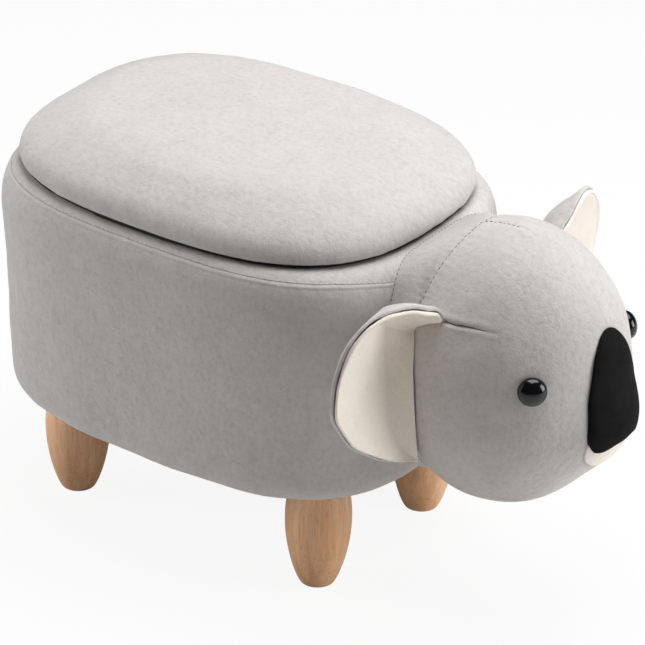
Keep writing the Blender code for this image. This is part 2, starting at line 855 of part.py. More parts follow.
def lid_foam():
    """The crowned foam cushion, with a recess below that takes the board."""
    outer = shrunk(lid_profile() + [crown_centre()], FABRIC + GAP)
    side = LID_BOARD_INSET - GAP
    recess = [(side, LID_BOARD_TOP + GAP), (side, LID_BOARD_BOTTOM)]
    shell = [point for point in outer[2:] if point[1] > LID_BOARD_BOTTOM]
    return lid_loft("lid_foam", recess + shell, FOAM, caps=(True, True))


def lid_cover():
    """The grey fabric over the cushion, turned under the board."""
    made = lid_loft("lid_cover", lid_profile() + [crown_centre()], GREY_FABRIC, caps=(False, True))
    thicken(made, FABRIC)
    return cut_hinge_screw_holes(made, "lid")


def lid_panel():
    """The black closing panel over the hem, which the lid rests on, notched for the hinges."""
    low = BODY_TOP + GAP
    made = lid_loft(
        "lid_panel", [(LID_PANEL_INSET, low), (LID_PANEL_INSET, low + LID_PANEL)], BLACK_CLOTH,
        caps=(True, True),
    )
    for hinge, middle in hinge_places().items():
        half = HINGE_WIDTH / 2 + GAP
        notch = block_cutter(
            "hinge_notch_" + hinge,
            (middle - half, hinge_screw_y() - HINGE_MARGIN - GAP, low - CUT_OVERRUN),
            (middle + half, BODY_WIDTH / 2, low + LID_PANEL + CUT_OVERRUN),
        )
        subtract(made, notch)
    return made


def muzzle_rise(across, up, shrink=0.0):
    """How far the muzzle stands out from the head's round form, at a place seen from ahead."""
    reach = (across / (MUZZLE_WIDTH / 2)) ** 2 + ((up + MUZZLE_DROP) / (MUZZLE_HEIGHT / 2)) ** 2
    return (MUZZLE_RISE - shrink) * max(0.0, 1 - reach) ** 2


def section_size(x, shrink=0.0):
    """Half-width, half-height and power of the head or neck at a place along X."""
    back = max(0.0, (COLLAR_X - x) / (COLLAR_X - NECK_ROOT_X))
    shrink *= 1 + NECK_FLARE_SHARE * min(back, 1.0)
    half_width = HEAD_WIDTH / 2 - shrink
    half_height = HEAD_HEIGHT / 2 - shrink
    half_length = HEAD_LENGTH / 2 - shrink
    collar = max(x, COLLAR_X)
    swell = math.sqrt(max(0.0, 1 - ((collar - HEAD_CENTRE.x) / half_length) ** 2))
    width = half_width * swell
    height = half_height * swell
    width += (NECK_WIDTH / 2 - shrink - width) * back
    height += (NECK_HEIGHT / 2 - shrink - height) * back
    return width, height, 2 + (NECK_POWER - 2) * back


def head_section(x, shrink=0.0):
    """A cross-section of the head or neck at a place along X, with its surface drawn in."""
    outline = oval(*section_size(x, shrink), HEAD_STEPS)
    from_centre = x - HEAD_CENTRE.x
    if from_centre < 0:
        return [(from_centre, across, up) for across, up in outline]
    return [
        (from_centre + muzzle_rise(across, up, shrink), across, up) for across, up in outline
    ]


def head_stations(shrink, steps=10):
    """Places along X from the collar seam to the tip of the head."""
    half_length = HEAD_LENGTH / 2 - shrink
    start = math.asin(max(-1.0, (COLLAR_X - HEAD_CENTRE.x) / half_length))
    end = math.pi / 2
    return [
        HEAD_CENTRE.x + half_length * math.sin(start + (end - start) * step / steps)
        for step in range(steps)
    ]


def neck_stations():
    """Places along X from inside the box to the collar seam."""
    start = NECK_ROOT_X - NECK_SINK / 2
    return [start, NECK_ROOT_X, (NECK_ROOT_X + COLLAR_X) / 2]


def head_tip(shrink):
    """A small last section that closes the front of the head."""
    tip = HEAD_LENGTH / 2 - shrink + muzzle_rise(0, 0, shrink)
    return [(tip, across, up) for across, up in oval(GAP, GAP, 2, HEAD_STEPS)]


def body_clearance():
    """The whole outer form of the box, grown by the clearance, which trims the neck."""
    profile = shrunk(box_profile()[0], -GAP)[1:-2]
    return body_loft("body_clearance", profile, None, caps=True, cutter=True)


def head_filling(trim):
    """The stuffing of head and neck, trimmed where it meets the box."""
    inside = FABRIC + GAP
    rings = [head_section(x, inside) for x in neck_stations() + head_stations(inside)]
    mesh = skin(rings, cap_start=True, cap_end=True)
    made = smooth(add("head_filling", mesh, HEAD_CENTRE, STOOL, FILLING))
    subtract(made, trim)
    board = round_cutter(
        "head_board_pocket",
        HEAD_BOARD_RADIUS + GAP,
        (BODY_FRONT - CUT_OVERRUN, 0, HEAD_CENTRE.z),
        (BODY_FRONT + GAP + HEAD_BOARD + GAP, 0, HEAD_CENTRE.z),
        DISC_STEPS,
    )
    subtract(made, board)
    for name, sign in SIDES.items():
        place, out = eye_place(sign)
        deep = EYE_STEM_LENGTH + GAP
        stem = round_cutter(
            "stem_pocket_" + name, EYE_STEM_RADIUS + GAP, place - out * deep, place + out * GAP
        )
        washer = round_cutter(
            "washer_pocket_" + name,
            EYE_WASHER_RADIUS + GAP,
            place - out * (washer_depth() + EYE_WASHER + GAP),
            place + out * CUT_OVERRUN,
        )
        subtract(made, stem)
        subtract(made, washer)
    return made


def head_panels():
    """The two halves of the head's fabric, sewn along the middle from collar to chin."""
    stations = head_stations(0)
    stations[0] = COLLAR_X + GAP / 2
    far = HEAD_LENGTH + CUT_OVERRUN
    for name, sign in SIDES.items():
        rings = [head_section(x) for x in stations] + [head_tip(0)]
        mesh = skin(rings, cap_end=True)
        made = smooth(add("head_panel_" + name, mesh, HEAD_CENTRE, STOOL, GREY_FABRIC))
        thicken(made, FABRIC)
        edges = sorted((sign * GAP / 2, -sign * far))
        half = block_cutter(
            "other_half_" + name,
            (COLLAR_X - far, edges[0], HEAD_CENTRE.z - far),
            (COLLAR_X + far, edges[1], HEAD_CENTRE.z + far),
        )
        subtract(made, half)
        place, out = eye_place(sign)
        hole = round_cutter(
            "eye_hole_" + name,
            EYE_STEM_RADIUS + GAP,
            place - out * CUT_OVERRUN,
            place + out * CUT_OVERRUN,
        )
        subtract(made, hole)


def neck_band(trim):
    """The collar of fabric between the box and the head."""
    stations = neck_stations() + [COLLAR_X - GAP / 2]
    mesh = skin([head_section(x) for x in stations])
    made = smooth(add("neck_band", mesh, HEAD_CENTRE, STOOL, GREY_FABRIC))
    thicken(made, FABRIC)
    return subtract(made, trim)


def head_board():
    """The plywood disc inside the neck that takes the head's screws."""
    back = BODY_FRONT + GAP
    hole = HEAD_SCREW_RADIUS + GAP
    profile = [(0, HEAD_BOARD), (HEAD_BOARD_RADIUS, HEAD_BOARD), (HEAD_BOARD_RADIUS, 0), (0, 0)]
    place = (back, 0, HEAD_CENTRE.z)
    made = turned(
        "head_board", profile, place, PLYWOOD, STOOL, steps=DISC_STEPS, aim=(1, 0, 0)
    )
    for name, height in HEAD_SCREW_HEIGHTS.items():
        start = (back - CUT_OVERRUN, 0, height)
        end = (back + HEAD_SCREW_BITE + GAP, 0, height)
        subtract(made, round_cutter("head_board_hole_" + name, hole, start, end))
    return made


def head_screws():
    """The screws driven from inside the box, through its wall, into the head board."""
    lining = BOARD_INSET + LINING_CLOTH
    for name, height in HEAD_SCREW_HEIGHTS.items():
        seat = front_x(lining, height - HEAD_SCREW_HEAD_RADIUS) - GAP
        length = BODY_FRONT + GAP + HEAD_SCREW_BITE - seat
        profile = [
            (0, length),
            (HEAD_SCREW_RADIUS, length),
            (HEAD_SCREW_RADIUS, 0),
            (HEAD_SCREW_HEAD_RADIUS, 0),
            (HEAD_SCREW_HEAD_RADIUS, -HEAD_SCREW_HEAD),
            (0, -HEAD_SCREW_HEAD),
        ]
        turned("head_screw_" + name, profile, (seat, 0, height), STEEL, STOOL, aim=(1, 0, 0))


def sagitta(radius):
    """How far the head's surface falls away under a disc of a radius."""
    return radius * radius / HEAD_LENGTH


def facet_depth():
    """How far the middle of one of the head's facets lies inside its round form."""
    return HEAD_WIDTH / 2 * (1 - math.cos(math.pi / HEAD_STEPS))


def eye_place(sign):
    """Where an eye's axis meets the head, and the way it faces."""
    along = math.cos(EYE_ELEVATION) * math.cos(EYE_AZIMUTH)
    across = math.cos(EYE_ELEVATION) * math.sin(EYE_AZIMUTH) * sign
    up = math.sin(EYE_ELEVATION)
    half = Vector((HEAD_LENGTH / 2, HEAD_WIDTH / 2, HEAD_HEIGHT / 2))
    place = HEAD_CENTRE + Vector((half.x * along, half.y * across, half.z * up))
    out = Vector((along / half.x, across / half.y, up / half.z)).normalized()
    return place, out


def washer_depth():
    """How deep an eye's washer lies below the head's round form."""
    return FABRIC + GAP + sagitta(EYE_WASHER_RADIUS) + facet_depth()


def eyes():
    """Domed plastic eyes, each with a stem through the fabric and a washer inside."""
    low = GAP - sagitta(EYE_RADIUS)
    dome = []
    for step in range(6):
        angle = math.pi / 2 * step / 5
        rise = (EYE_DOME - EYE_EDGE - low) * math.cos(angle)
        dome.append((EYE_RADIUS * math.sin(angle), low + EYE_EDGE + rise))
    dome += [(EYE_RADIUS * EYE_BACK_SHARE, low)]
    dome += [(EYE_STEM_RADIUS, GAP), (EYE_STEM_RADIUS, -EYE_STEM_LENGTH), (0, -EYE_STEM_LENGTH)]
    bore = EYE_STEM_RADIUS + GAP
    top = -washer_depth()
    washer = [
        (bore, top),
        (EYE_WASHER_RADIUS, top),
        (EYE_WASHER_RADIUS, top - EYE_WASHER),
        (bore, top - EYE_WASHER),
    ]
    for name, sign in SIDES.items():
        place, out = eye_place(sign)
        turned("eye_" + name, dome, place, BLACK_PLASTIC, STOOL, DISC_STEPS, aim=out)
        turned("eye_washer_" + name, washer, place, WHITE_PLASTIC, STOOL, closed=True, aim=out)


def head_surface_x(across, up):
    """The front of the head, at a place seen from the front."""
    share = 1 - (across / (HEAD_WIDTH / 2)) ** 2 - (up / (HEAD_HEIGHT / 2)) ** 2
    return HEAD_LENGTH / 2 * math.sqrt(share) + muzzle_rise(across, up)


def patch(name, outline, rise, pad, edge, slot):
    """A padded patch on the front of the head, from an outline of (across, up) points."""
    back, front = [], []
    for scale in PATCH_SHARES:
        thickness = edge + (pad - edge) * (1 - scale**3)
        flat = [(across * scale, up * scale + rise) for across, up in outline]
        back.append([(head_surface_x(y, z) + PATCH_SEAT, y, z) for y, z in flat])
        front.append([(head_surface_x(y, z) + PATCH_SEAT + thickness, y, z) for y, z in flat])
    mesh = skin(back + front[::-1], cap_start=True, cap_end=True)
    return smooth(add(name, mesh, HEAD_CENTRE, STOOL, slot))


def mirrored_outline(shares, half_width, half_height):
    """A closed outline from the points of its left half, which start and end on the middle."""
    half = [(across * half_width, up * half_height) for across, up in shares]
    other = [(-across, up) for across, up in half[-2:0:-1]]
    return [*half, *other][::-1]


def nose_pad():
    """The tall black nose, wider low down, with rounded corners."""
    outline = mirrored_outline(NOSE_OUTLINE_SHARES, NOSE_WIDTH / 2, NOSE_HEIGHT / 2)
    return patch("nose_pad", outline, NOSE_RISE, NOSE_PAD, NOSE_EDGE, BLACK_FELT)


def chin_patch():
    """The cream patch that shows below the nose and beside its lower corners."""
    outline = oval(CHIN_WIDTH / 2, CHIN_HEIGHT / 2, 2, DISC_STEPS)
    rise = NOSE_RISE - NOSE_HEIGHT / 2 + CHIN_HEIGHT / 4 - CHIN_DROP
    made = patch("chin_patch", outline, rise, CHIN_PAD, CHIN_EDGE, CREAM_FABRIC)
    grown = mirrored_outline(
        NOSE_OUTLINE_SHARES, NOSE_WIDTH / 2 + GAP * 2, NOSE_HEIGHT / 2 + GAP * 2
    )
    rings = [[(x, y, z + NOSE_RISE) for y, z in grown] for x in (0, HEAD_LENGTH)]
    cutter = add(
        "nose_clearance",
        skin(rings, cap_start=True, cap_end=True),
        HEAD_CENTRE,
        cutter=True,
    )
    return subtract(made, cutter)


def smooth_path(points, share):
    """A point on the smooth curve through a list of points, by its share of the way."""
    spans = len(points) - 1
    place = min(share * spans, spans - 1e-9)
    index = int(place)
    part = place - index
    before = points[max(index - 1, 0)]
    start, end = points[index], points[index + 1]
    after = points[min(index + 2, spans)]
    return (
        start
        + (end - before) * (part / 2)
        + (before * 2 - start * 5 + end * 4 - after) * (part**2 / 2)
        + (start * 3 - before - end * 3 + after) * (part**3 / 2)
    )


def ear_point(across_share, along_share):
    """A point of the right ear's middle surface, from root to rim and from top to bottom."""
    size = Vector((EAR_SWEEP, EAR_SPREAD, EAR_HEIGHT))
    rim = [Vector((a * size.x, b * size.y, c * size.z)) for a, b, c in EAR_RIM_SHARES]
    root = [Vector((a * size.x, b * size.y, c * size.z)) for a, b, c in EAR_ROOT_SHARES]
    start = smooth_path(root, along_share)
    end = smooth_path(rim, along_share)
    point = start.lerp(end, across_share)
    cup = math.sin(math.pi * across_share**EAR_CUP_SKEW) * math.sin(math.pi * along_share)
    point -= Vector((math.cos(EAR_CUP_TURN), math.sin(EAR_CUP_TURN), 0.0)) * EAR_CUP * cup
    return Vector((point.x, -(HEAD_WIDTH / 2 + point.y), point.z))


def ear_normal(across_share, along_share):
    """The direction that the right ear's middle surface faces, forwards."""
    step = 1e-3
    across_share = min(max(across_share, step), 1 - step)
    along_share = min(max(along_share, step), 1 - step)
    u = ear_point(across_share + step, along_share) - ear_point(across_share - step, along_share)
    v = ear_point(across_share, along_share + step) - ear_point(across_share, along_share - step)
    return u.cross(v).normalized()


def clear_of_head(point):
    """A point moved straight out of the head or neck, up to its clearance, if it lies inside."""
    width, height, power = section_size(HEAD_CENTRE.x + point.x, -2 * GAP)
    depth = (abs(point.y / width) ** power + abs(point.z / height) ** power) ** (1 / power)
    return Vector((point.x, point.y / depth, point.z / depth)) if depth < 1 else point


def ear_mesh(rows, front_lift, back_lift, sign):
    """A plate along the ear between two lifts from its surface, for the left or right side."""
    rings = []
    flip = Vector((1, -sign, 1))
    for column in range(EAR_STEPS + 1):
        along = column / EAR_STEPS
        thinning = min(1.0, EAR_END_SHARE + along / EAR_FADE_SHARE)
        thinning = min(thinning, EAR_END_SHARE + (1 - along) / EAR_FADE_SHARE)
        points = [(ear_point(row, along), ear_normal(row, along) * thinning) for row in rows]
        front = [clear_of_head(point + normal * front_lift) for point, normal in points]
        back = [clear_of_head(point + normal * back_lift) for point, normal in points]
        rings.append([point * flip for point in front + back[::-1]])
    return skin(rings[::-sign], cap_start=True, cap_end=True, plate=True)


def ears():
    """Cupped ears: a grey padded back and a cream lining, sewn into the sides of the head."""
    lining_back = -EAR_LINING
    back_front = lining_back - EAR_SEAT
    for name, sign in SIDES.items():
        back = ear_mesh(EAR_ROW_SHARES, back_front, back_front - EAR_BACK, sign)
        smooth(add("ear_back_" + name, back, HEAD_CENTRE, STOOL, GREY_FABRIC))
        front = ear_mesh(EAR_ROW_SHARES[:-1], 0, lining_back, sign)
        smooth(add("ear_lining_" + name, front, HEAD_CENTRE, STOOL, CREAM_FABRIC))


def clear_scene():
    """Remove what the scene held before."""
    for old in list(bpy.data.objects):
        bpy.data.objects.remove(old)


def centre_on_origin():
    """Move the whole stool so that the origin is under the middle of its overall box."""
    bpy.context.view_layer.update()
    graph = bpy.context.evaluated_depsgraph_get()
    places = []
    for made in PARTS.objects:
        if made.type != "MESH":
            continue
        whole = made.evaluated_get(graph)
        mesh = whole.to_mesh()
        places += [(whole.matrix_world @ vertex.co).x for vertex in mesh.vertices]
        whole.to_mesh_clear()
    STOOL.location.x = -(min(places) + max(places)) / 2


clear_scene()
bpy.context.scene.collection.children.link(PARTS)
bpy.context.scene.collection.children.link(CUTTERS)

GREY_FABRIC = material("grey_fabric", (0.50, 0.48, 0.465), 0.9)
CREAM_FABRIC = material("cream_fabric", (0.86, 0.80, 0.70), 0.9)
BLACK_FELT = material("black_felt", (0.012, 0.012, 0.013), 0.95)
BLACK_CLOTH = material("black_cloth", (0.02, 0.02, 0.022), 0.9)
BLACK_PLASTIC = material("black_plastic", (0.008, 0.008, 0.009), 0.08)
WHITE_PLASTIC = material("white_plastic", (0.8, 0.8, 0.78), 0.4)
FOAM = material("foam", (0.75, 0.68, 0.45), 0.95)
FILLING = material("filling", (0.9, 0.9, 0.88), 0.95)
PLYWOOD = material("plywood", (0.60, 0.42, 0.25), 0.6)
WOOD = material("leg_wood", (0.40, 0.22, 0.105), 0.5)
STEEL = material("steel", (0.55, 0.55, 0.56), 0.35, 1.0)

LID_AXIS = None
STOOL = empty("stool", (0, 0, 0))
LID_AXIS = empty("lid_axis", HINGE_AXIS, STOOL)

base_board()
wall_shell()
rim_ring()
side_padding()
body_cover()
rim_facing()
storage_lining()
bottom_cloth()
legs()
lid_board()
lid_foam()
lid_cover()
lid_panel()
hinges()
NECK_TRIM = body_clearance()
head_filling(NECK_TRIM)
head_panels()
neck_band(NECK_TRIM)
head_board()
head_screws()
eyes()
nose_pad()
chin_patch()
ears()
centre_on_origin()
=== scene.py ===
"""Looks of the koala storage footstool, dressed over its fixed frame.

Units are metres, +Z is up and +X points from the tail end towards the head.
"""

import json
import math

import bmesh
import bpy
import numpy as np
from mathutils import Matrix, Vector, kdtree
from mathutils.bvhtree import BVHTree


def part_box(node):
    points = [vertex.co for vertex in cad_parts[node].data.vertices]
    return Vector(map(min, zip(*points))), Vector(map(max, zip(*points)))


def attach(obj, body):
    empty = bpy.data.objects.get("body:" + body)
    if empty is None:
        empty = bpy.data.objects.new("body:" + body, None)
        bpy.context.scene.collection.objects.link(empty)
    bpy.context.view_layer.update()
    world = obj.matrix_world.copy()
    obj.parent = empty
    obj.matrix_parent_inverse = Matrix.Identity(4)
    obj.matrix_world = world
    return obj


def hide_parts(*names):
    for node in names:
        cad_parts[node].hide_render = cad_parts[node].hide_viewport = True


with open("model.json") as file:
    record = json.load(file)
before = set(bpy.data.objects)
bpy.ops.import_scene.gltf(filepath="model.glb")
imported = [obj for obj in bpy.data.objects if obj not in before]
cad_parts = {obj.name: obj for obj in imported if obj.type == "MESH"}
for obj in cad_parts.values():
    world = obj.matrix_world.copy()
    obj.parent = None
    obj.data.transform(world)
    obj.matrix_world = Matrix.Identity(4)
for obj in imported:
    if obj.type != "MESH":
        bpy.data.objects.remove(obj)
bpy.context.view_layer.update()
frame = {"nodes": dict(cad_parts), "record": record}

# Camera, solved from the photograph: angles in degrees, distance in metres, focal length in pixels
CAMERA_AZIMUTH = 35.05
CAMERA_ELEVATION = 28.65
CAMERA_ROLL = 1.33
CAMERA_DISTANCE = 3.932
CAMERA_AIM_FROM_BODY = Vector((0.0614, 0.036, 0.195))
FOCAL_PIXELS = 4094
PICTURE_PIXELS = 645
SENSOR_MM = 36

# Lamps: name, place, size, power, colour
LAMPS = (
    ("top_softbox", (0.119, 0.34, 1.9), 1.6, 38.5, (0.97, 0.985, 1.0)),
    ("left_softbox", (-1.87, -0.95, 0.9), 1.1, 20, (1, 1, 1)),
    ("right_softbox", (1.87, 0.82, 0.8), 1.1, 23, (1, 1, 1)),
)
LAMP_AIM = Vector((0, 0, 0.2))
WORLD_STRENGTH = 0.02
FLOOR_SIZE = 14
FLOOR_DROP = 0.0002
FLOOR_WHITE_SHARE = 0.91

# Box
BODY_POWER = 3.05
BODY_TAPER = 0.0075
UNDERSIDE_RADIUS = 0.0253
HEM_WIDTH = 0.012
SHOULDER_INSET = 0.022
SHOULDER_HEIGHT = 0.041
SHOULDER_POWER = 2.4
SEAM_DROP = 0.006
SEAM_DIP = 0.0095
SEAM_DIP_START = math.radians(38)
SEAM_DIP_REACH = math.radians(20)
SEAM_DIP_LIMIT = 1.2
SEAM_DIP_FADE = 0.06
SEAM_DIP_INSET_FADE = 0.004
RIM_WIDTH = 0.046
RIM_TURN_IN = 0.022
CLOTH = 0.002
CORNER_SOFTNESS = 0.005
CORNER_ANGLE = math.radians(42)
CORNER_REACH = math.radians(20)
CORNER_START = 0.24
BODY_COLUMNS = 1080

# Lid
LID_POWER = 2.77
LID_EDGE_RADIUS = 0.007
LID_HEM_WIDTH = 0.035
LID_CROWN_INSET = 0.090
LID_CROWN_POWER = 2.2
LID_CROWN_RISE = 0.0015
LID_COLUMNS = 480
UNDERLAY_INSET = 0.0060
UNDERLAY_HINGE_INSET = 0.013
UNDERLAY_HINGE_SIDE = 0.120
UNDERLAY_DROP = 0.0021
UNDERLAY_SLACK = 0.0033
UNDERLAY_MIDDLE_DROP = 0.0024
UNDERLAY_EDGE = 0.01
HINGE_SIDE_GAP = 0.004
HINGE_END_GAP = 0.0015
HINGE_ROW_GAP = 0.0035
SLACK_FROM = -0.156
SLACK_TO = -0.0656

# Head and neck
HEAD_LENGTH = 0.2348
COLLAR_OFFSET = 0.0461
NECK_WIDTH = 0.180
NECK_HEIGHT = 0.2036
NECK_SINK = 0.0216
NECK_POWER = 4.5
MUZZLE_WIDTH = 0.180
MUZZLE_HEIGHT = 0.120
MUZZLE_DROP = 0.041
MUZZLE_RISE = 0.011
HEAD_COLUMNS = 480
COLLAR_SEAM_LEAN = 0.014
COLLAR_SEAM_LEAN_START = 0.078
COLLAR_SEAM_LEAN_HEIGHT = 0.055
NECK_SEAM_STEPS = 3
NECK_SEAM_REACH = math.radians(56)
NECK_SEAM_EVENING = 15
DART_PLACES = (
    (-0.0136, 0.0913, 0.0742), (0.0052, 0.0912, 0.0759),
    (0.0200, 0.0889, 0.0772), (0.0397, 0.0834, 0.0760),
)
JAW_PLACES = ((0.030, 0.062, -0.105), (0.040, 0.056, -0.109), (0.050, 0.050, -0.110))

# Cloth simulation
CLOTH_SETTINGS = {
    "use_pressure": True,
    "uniform_pressure_force": 4.0,
    "tension_stiffness": 15,
    "bending_stiffness": 0.6,
}
CLOTH_FRAMES = 20
CLOTH_NEIGHBOURS = 5

# Surfaces that meet more steeply than this keep a crisp edge
SHARP_ANGLE = math.radians(50)

# Seams
MIDDLE_SEAM_FADE = 0.03
PUCKER_SPACING = 0.0078
PUCKER_HEIGHT = 0.00028
PUCKER_REACH = 0.0085
WELT_WIDTH = 0.0056
WELT_HEIGHT = 0.0005
WELT_EDGE = 0.0016
WELT_ROW_DEPTH = 0.0008
WELT_ROW_WIDTH = 0.0011
WELT_STITCH_SPACING = 0.0042
JOINT_ROW = 0.0008
JOINT_ROW_DEPTH = 0.0005
ROW_WIDTH = 0.0009
STITCH_LENGTH = 0.0034
STITCH_SPACING = 0.0050
STITCH_RADIUS = 0.00038
STITCH_LIFT = 0.0001
RIM_ROW_TURN = math.radians(1.5)
CREASE_RADIUS = 0.0006

# Layers of soft noise: (length, seed, height)
BOX_WAVES = ((0.09, 3, 0.0007), (0.035, 4, 0.0002))
LID_DENTS = ((0.11, 7, 0.0009), (0.04, 8, 0.00025))
LID_TUCKS = ((0.02, 9, 0.0004),)
HEAD_WAVES = ((0.07, 11, 0.0006),)
EAR_WRINKLES = ((0.03, 21, 0.0003), (0.012, 22, 0.0001))
UNDERLAY_WRINKLES = ((0.07, 21, 0.0004), (0.025, 22, 0.00015))

# Black cloth
SHEET_CLOTH = 0.0010
CUP_COLUMNS = 320
CUP_CORNER = 0.008
CUP_FOLDS = 0.0014
CUP_DENTS = 0.0006
LINING_HEM = 0.012
LINING_HEM_HEIGHT = 0.0008
UNDERSIDE_HEM = 0.010
UNDERSIDE_HEM_HEIGHT = 0.0007
UNDERSIDE_SLACK = 0.0012
HEM_EDGE = 0.0008
LEG_CLEARANCE = 0.034

# Ears
EAR_SPREAD = 0.1092
EAR_HEIGHT = 0.187
EAR_SWEEP = 0.045
EAR_CUP_SKEW = 0.61
EAR_CUP_TURN = math.radians(14)
EAR_BACK_PAD = 0.0056
EAR_BACK_RIM = 0.0030
EAR_BACK_REACH = 0.972
EAR_LINING_PAD = 0.0030
EAR_LINING_RIM = 0.0027
EAR_LINING_REACH = 0.968
EAR_FILL_START = 0.028
EAR_SINK = 0.0015
EAR_VALLEY_SHARE = 0.9
EAR_VALLEY = (
    (0.0, 0.6), (0.3, 0.55), (0.35, 0.42), (0.4, 0.27), (0.5, 0.21), (0.65, 0.2), (0.75, 0.28),
    (0.8, 0.37), (1.0, 0.6),
)
EAR_DROOP = {"right": (0.0, 0.0, -0.0075), "left": (-0.003, -0.006, -0.015)}
EAR_DROOP_PLACE = {"right": (0.24, 0.13), "left": (0.38, 0.2)}
EAR_LEAN = {"right": 0.0, "left": 0.003}
EAR_CUP_BY_SIDE = {"right": 0.022, "left": 0.009}
EAR_RIM_SHARES = (
    (-0.302, -0.162, 0.397), (-0.224, -0.046, 0.482), (-0.224, 0.082, 0.53),
    (-0.291, 0.275, 0.598), (-0.36, 0.435, 0.626), (-0.462, 0.586, 0.621),
    (-0.589, 0.753, 0.58), (-0.713, 0.883, 0.502), (-0.811, 0.958, 0.406),
    (-0.904, 1.0, 0.274), (-0.987, 0.976, 0.106), (-1.0, 0.885, 0.006),
    (-0.962, 0.735, -0.120), (-0.882, 0.575, -0.196), (-0.78, 0.342, -0.285),
    (-0.78, 0.027, -0.378), (-0.824, -0.183, -0.435),
)
EAR_ROOT_SHARES = (
    (-0.302, -0.162, 0.397), (-0.669, -0.165, 0.365), (-1.002, -0.174, 0.306),
    (-0.898, -0.114, 0.232), (-0.773, -0.049, 0.065), (-0.742, -0.066, -0.159),
    (-0.842, -0.198, -0.43),
)

# Nose, chin and eyes
NOSE_WIDTH = 0.083
NOSE_HEIGHT = 0.114
NOSE_RISE = 0.0088
NOSE_PAD = 0.0062
NOSE_EDGE = 0.0032
NOSE_LOWER_LIFT = 0.0038
NOSE_OUTLINE_SHARES = (
    (0.0, 1.014), (0.17, 0.99), (0.355, 0.90), (0.625, 0.64), (0.8, 0.28), (0.905, -0.09),
    (0.955, -0.525), (0.93, -0.715), (0.825, -0.87), (0.66, -0.94), (0.3, -0.885), (0.0, -0.88),
)
OUTLINE_STEPS = 1200
CHIN_WIDTH = 0.078
CHIN_HEIGHT = 0.058
CHIN_DROP = 0.0065
CHIN_PAD = 0.0034
CHIN_EDGE = 0.0016
PAD_CROWN_POWER = 3.0
PAD_SEAT = -0.0002
EYE_RADIUS = 0.0136
EYE_DOME = 0.0096
EYE_AZIMUTH = math.radians(48)
EYE_ELEVATION = math.radians(11.5)
EYE_SHANK_RADIUS = 0.0022
EYE_SHANK_DEPTH = 0.014

# Legs
LEG_FOOT_RADIUS = 0.0162
LEG_BELLY_RADIUS = 0.0318
LEG_TOP_RADIUS = 0.0278
LEG_BELLY_HEIGHT = 0.070
LEG_TAPER_POWER = 0.75
LEG_NAMES = ("front_left", "front_right", "rear_left", "rear_right")

SIDES = {"right": -1, "left": 1}
QUARTER = math.pi / 2

# Places read from the frame
BODY_LOW, BODY_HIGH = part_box("body_cover")
BODY_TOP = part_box("rim_facing")[1].z
BODY_CENTRE_X = (BODY_LOW.x + BODY_HIGH.x) / 2
BODY_HALF = Vector(((BODY_HIGH.x - BODY_LOW.x) / 2, BODY_HIGH.y))
SHOULDER_START = BODY_TOP - SHOULDER_HEIGHT
LID_LOW, LID_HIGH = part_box("lid_cover")
LID_MIDDLE = np.array([(LID_LOW.x + LID_HIGH.x) / 2, 0])
LID_HALF = Vector(((LID_HIGH.x - LID_LOW.x) / 2, LID_HIGH.y))
HEAD_LOW, HEAD_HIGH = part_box("head_panel_left")
HEAD_HALF = Vector((HEAD_LENGTH / 2, HEAD_HIGH.y, (HEAD_HIGH.z - HEAD_LOW.z) / 2))
HEAD_CENTRE = Vector((HEAD_LOW.x + COLLAR_OFFSET, 0, (HEAD_HIGH.z + HEAD_LOW.z) / 2))
HEAD_PLACE = np.array(HEAD_CENTRE)
NECK_ROOT = BODY_HIGH.x - NECK_SINK - HEAD_CENTRE.x


# Numbers and lines


def clip01(values):
    """Values held between 0 and 1."""
    return np.clip(values, 0, 1)


def bell(distance, width):
    """A bell curve that is 1 at no distance."""
    return np.exp(-((distance / width) ** 2))


def soft_noise(points, length, seed, waves=14):
    """A smooth random height between about -1 and 1 for each point, with a typical length."""
    chance = np.random.default_rng(seed)
    directions = chance.normal(size=(waves, 3))
    directions /= np.linalg.norm(directions, axis=1)[:, None]
    lengths = length * chance.uniform(0.7, 1.6, waves)
    phases = chance.uniform(0, 2 * math.pi, waves)
    turns = points @ (directions / lengths[:, None]).T * 2 * math.pi + phases
    return np.sin(turns).sum(axis=1) / math.sqrt(waves)


def uneven(points, layers):
    """Summed layers of soft noise."""
    return sum(soft_noise(points, length, seed) * height for length, seed, height in layers)


def slack_cloth(points, length, seed):
    """Soft noise held between 0 and 1, for cloth that gives one way only."""
    return clip01(0.5 + 0.35 * soft_noise(points, length, seed))


def full_turn(count):
    """Angles at even steps round a full turn."""
    return np.linspace(0, 2 * math.pi, count, endpoint=False)


def polar_oval(half_x, half_y, power, count):
    """Evenly turned points of a superellipse."""
    c, s = np.cos(full_turn(count)), np.sin(full_turn(count))
    reach = (np.abs(c / half_x) ** power + np.abs(s / half_y) ** power) ** (-1 / power)
    return np.stack([reach * c, reach * s], axis=1)


def level_rings(outlines, centre):
    """Level rings round a centre from (flat outline, height) pairs."""
    rings = [np.column_stack([flat + centre, np.full(len(flat), z)]) for flat, z in outlines]
    return np.array(rings)


def drawn_in(ring, centre, shares):
    """Copies of a ring, drawn in towards a centre by shares of its size."""
    return [centre + (ring - centre) * share for share in shares]


def lengths_along(line):
    """How far along a line of points each of them lies."""
    return np.concatenate([[0], np.cumsum(np.linalg.norm(np.diff(line, axis=0), axis=1))])


def at_lengths(line, wanted):
    """Points at wanted lengths along a line of points."""
    places = lengths_along(line)
    return np.column_stack([np.interp(wanted, places, values) for values in line.T])


def walk(line, spacing):
    """Points at a spacing along a line of points."""
    return at_lengths(line, np.arange(0, lengths_along(line)[-1], spacing))


